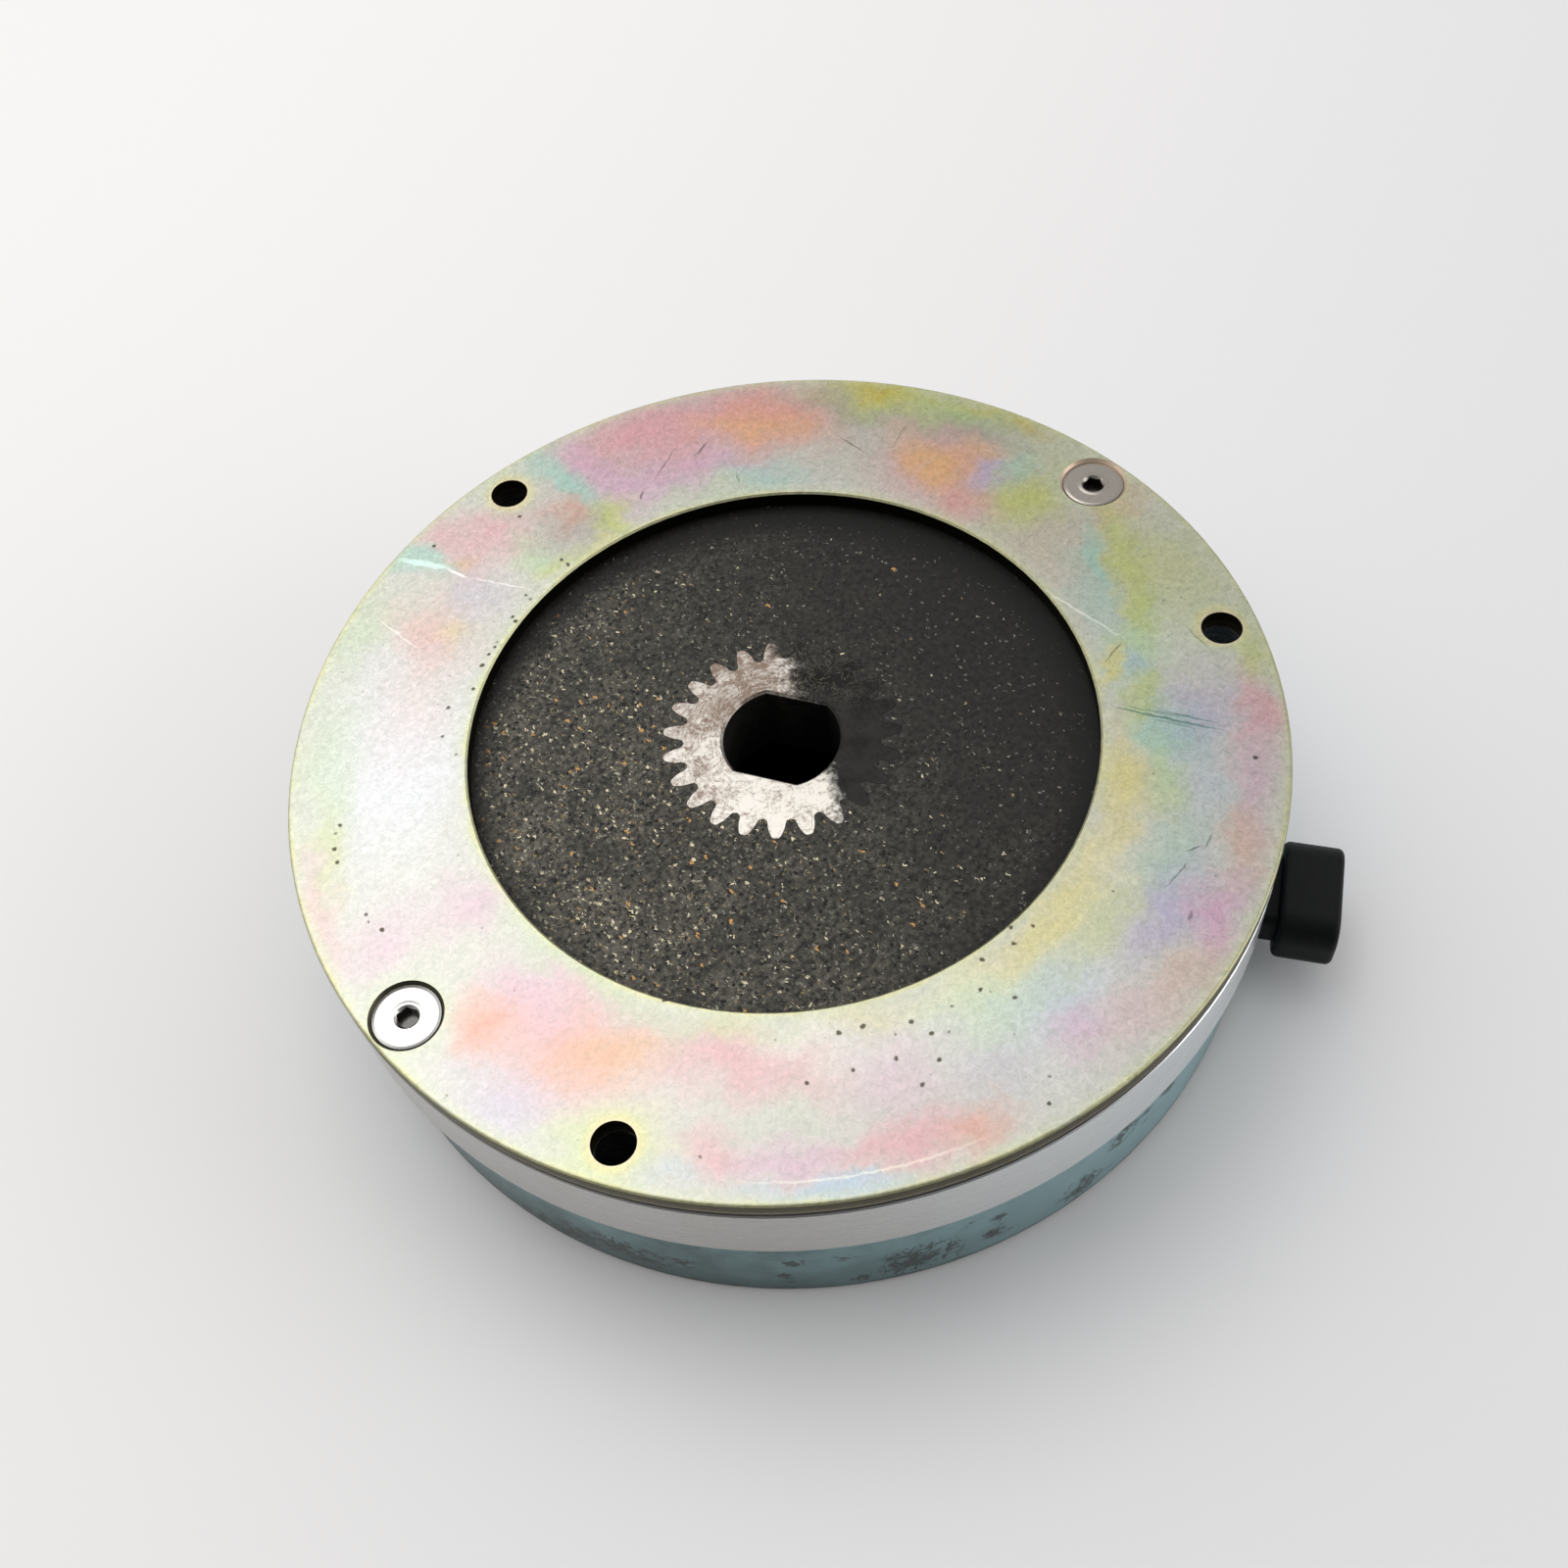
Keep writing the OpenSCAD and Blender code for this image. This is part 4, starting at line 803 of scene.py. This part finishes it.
# Black stains lie along its lower edge; the bore is painted black as painted shade
rear_bore_mm = 20.0
body_edge_mm = 74.0
blue_edge = add(blue, "Math", "MULTIPLY_ADD", i0=knock_noise, i1=-3.0, i2=blue_where.outputs["Z"])
blue_stain = add(blue, "MapRange", Value=blue_edge, i1=-0.8, i2=0.6, i3=0.85, i4=0.0)
blue_flat = add(blue, "VectorMath", "MULTIPLY", i0=blue_mm, i1=(1, 1, 0))
blue_radius = add(blue, "VectorMath", "LENGTH", i0=blue_flat)
blue_rim = add(blue, "MapRange", Value=blue_radius, i1=body_edge_mm - 1.5, i2=body_edge_mm, i3=0.0, i4=1.0)
blue_stained = add(blue, "Math", "MULTIPLY", i0=blue_stain, i1=blue_rim)
blue_bore_shade = add(blue, "MapRange", Value=blue_radius, i1=rear_bore_mm + 0.1, i2=rear_bore_mm + 0.4, i3=0.9,
                i4=0.0)
blue_stain_and_shade = add(blue, "Math", "MAXIMUM", i0=blue_stained, i1=blue_bore_shade)
blue_final = add(blue, "Mix", in_colour, i0=blue_stain_and_shade, i6=blue_knocked, i7=colour("#1a1d1c"))
blue_bump = add(blue, "Bump", Strength=0.3, Distance=0.0002, Height=knock_noise)
blue_shader = add(blue, "BsdfPrincipled", Base_Color=blue_final, Metallic=0.45, Roughness=0.36,
                  Normal=blue_bump)
add(blue, "OutputMaterial", Surface=blue_shader)
dress(nodes["magnet_body"], blue)

# Armature plate, shim and pins
# Ground steel plate, brass shim on the pole and bright steel pins.
dress(nodes["armature_plate"], plain("ground_armature_steel", "#6e6b67", "#96928d", 1.2, 1.0, 0.34))
dress(nodes["pole_shim"], plain("brass_shim", "#8f7434", "#c2a255", 1.5, 1.0, 0.28))
dress(nodes["guide_pins"], plain("bright_pin_steel", "#a3a19d", "#cfcdc9", 2.0, 1.0, 0.2))

# Springs
# Oiled spring wire, wound round and smooth with closed ends in place of the coarse coils.
spring_count = 6
spring_radius = 0.0045
wire_radius = 0.00075
spring_turns = 6
closed_turns = 0.9
steps_per_turn = 32
spring_wire = plain("oiled_spring_wire", "#3a3935", "#66635c", 2.5, 1.0, 0.3)
dress(nodes["pressure_springs"], spring_wire)
spring_low, spring_high = [corner[2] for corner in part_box("pressure_springs")]
spring_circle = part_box("pressure_springs")[1][0] - spring_radius
closed_rise = 2 * wire_radius * closed_turns
open_rise = spring_high - spring_low - 2 * wire_radius - 2 * closed_rise
coil_mesh = bmesh.new()
bmesh.ops.create_circle(coil_mesh, segments=14, radius=wire_radius, cap_ends=True,
                        matrix=Matrix.Translation((spring_radius - wire_radius, 0, 0))
                        @ Matrix.Rotation(math.radians(90), 4, "X"))
swept = list(coil_mesh.edges)
for turns, rise in [(closed_turns, closed_rise), (spring_turns - 2 * closed_turns, open_rise),
                    (closed_turns, closed_rise)]:
    steps = round(turns * steps_per_turn)
    wound = bmesh.ops.spin(coil_mesh, geom=swept, cent=(0, 0, 0), axis=(0, 0, 1),
                           dvec=(0, 0, rise / steps), angle=math.radians(360 * turns), steps=steps)
    swept = [part for part in wound["geom_last"] if isinstance(part, bmesh.types.BMEdge)]
bmesh.ops.contextual_create(coil_mesh, geom=swept)
coil_data = bpy.data.meshes.new("wound_spring")
coil_mesh.to_mesh(coil_data)
coil_mesh.free()
spring_mesh = bmesh.new()
for number in range(spring_count):
    before = len(spring_mesh.verts)
    spring_mesh.from_mesh(coil_data)
    spring_mesh.verts.ensure_lookup_table()
    bmesh.ops.transform(spring_mesh, verts=spring_mesh.verts[before:],
                        matrix=Matrix.Rotation(math.radians(360 / spring_count * number), 4, "Z")
                        @ Matrix.Translation((spring_circle, 0, spring_low + wire_radius)))
bmesh.ops.recalc_face_normals(spring_mesh, faces=spring_mesh.faces)
for face in spring_mesh.faces:
    face.smooth = True
spring_data = bpy.data.meshes.new("wound_springs")
spring_mesh.to_mesh(spring_data)
spring_mesh.free()
wound_springs = bpy.data.objects.new("wound_springs", spring_data)
bpy.context.scene.collection.objects.link(wound_springs)
dress(wound_springs, spring_wire)
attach(wound_springs, "housing")
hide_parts("pressure_springs")
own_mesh(wound_springs)

# Coil
# Glass-filled bobbin, enamelled copper under polyester tape, and black potting resin.
dress(nodes["coil_bobbin"], plain("bobbin_nylon", "#17191b", "#26292c", 3.0, 0.0, 0.5))
dress(nodes["coil_winding"], plain("enamelled_copper", "#7e3d1b", "#c07440", 1.0, 0.9, 0.25,
                                   stretch=(0.1, 0.1, 4)))
dress(nodes["coil_tape"], plain("polyester_tape", "#b58f33", "#d6b55a", 0.8, 0.0, 0.4))
dress(nodes["coil_potting"], plain("potting_resin", "#0f1011", "#1c1e20", 0.5, 0.0, 0.28))

# Leads
# Both leads have red insulation, and each ends in a shrunk black sleeve.
dress(nodes["lead_wires"], plain("lead_insulation", "#7c1d15", "#9c2f25", 1.5, 0.0, 0.45))
dress(nodes["lead_sleeves"], plain("shrink_sleeve", "#161616", "#262626", 1.5, 0.0, 0.5))

# Connector
# Black glass-filled nylon with a finely eroded surface, a black rubber seal and tinned brass blades.
dress(nodes["connector_housing"], plain("black_moulded_nylon", "#030404", "#0b0d0d", 3.5, 0.0, 0.5,
                                        bump=0.3, depth=0.00005, specular=0.15))
dress(nodes["connector_seal"], plain("seal_rubber", "#0b0b0b", "#171616", 2.0, 0.0, 0.7))
dress(nodes["terminal_blades"], plain("tinned_brass", "#b5ad98", "#d9d2c0", 2.5, 1.0, 0.25))
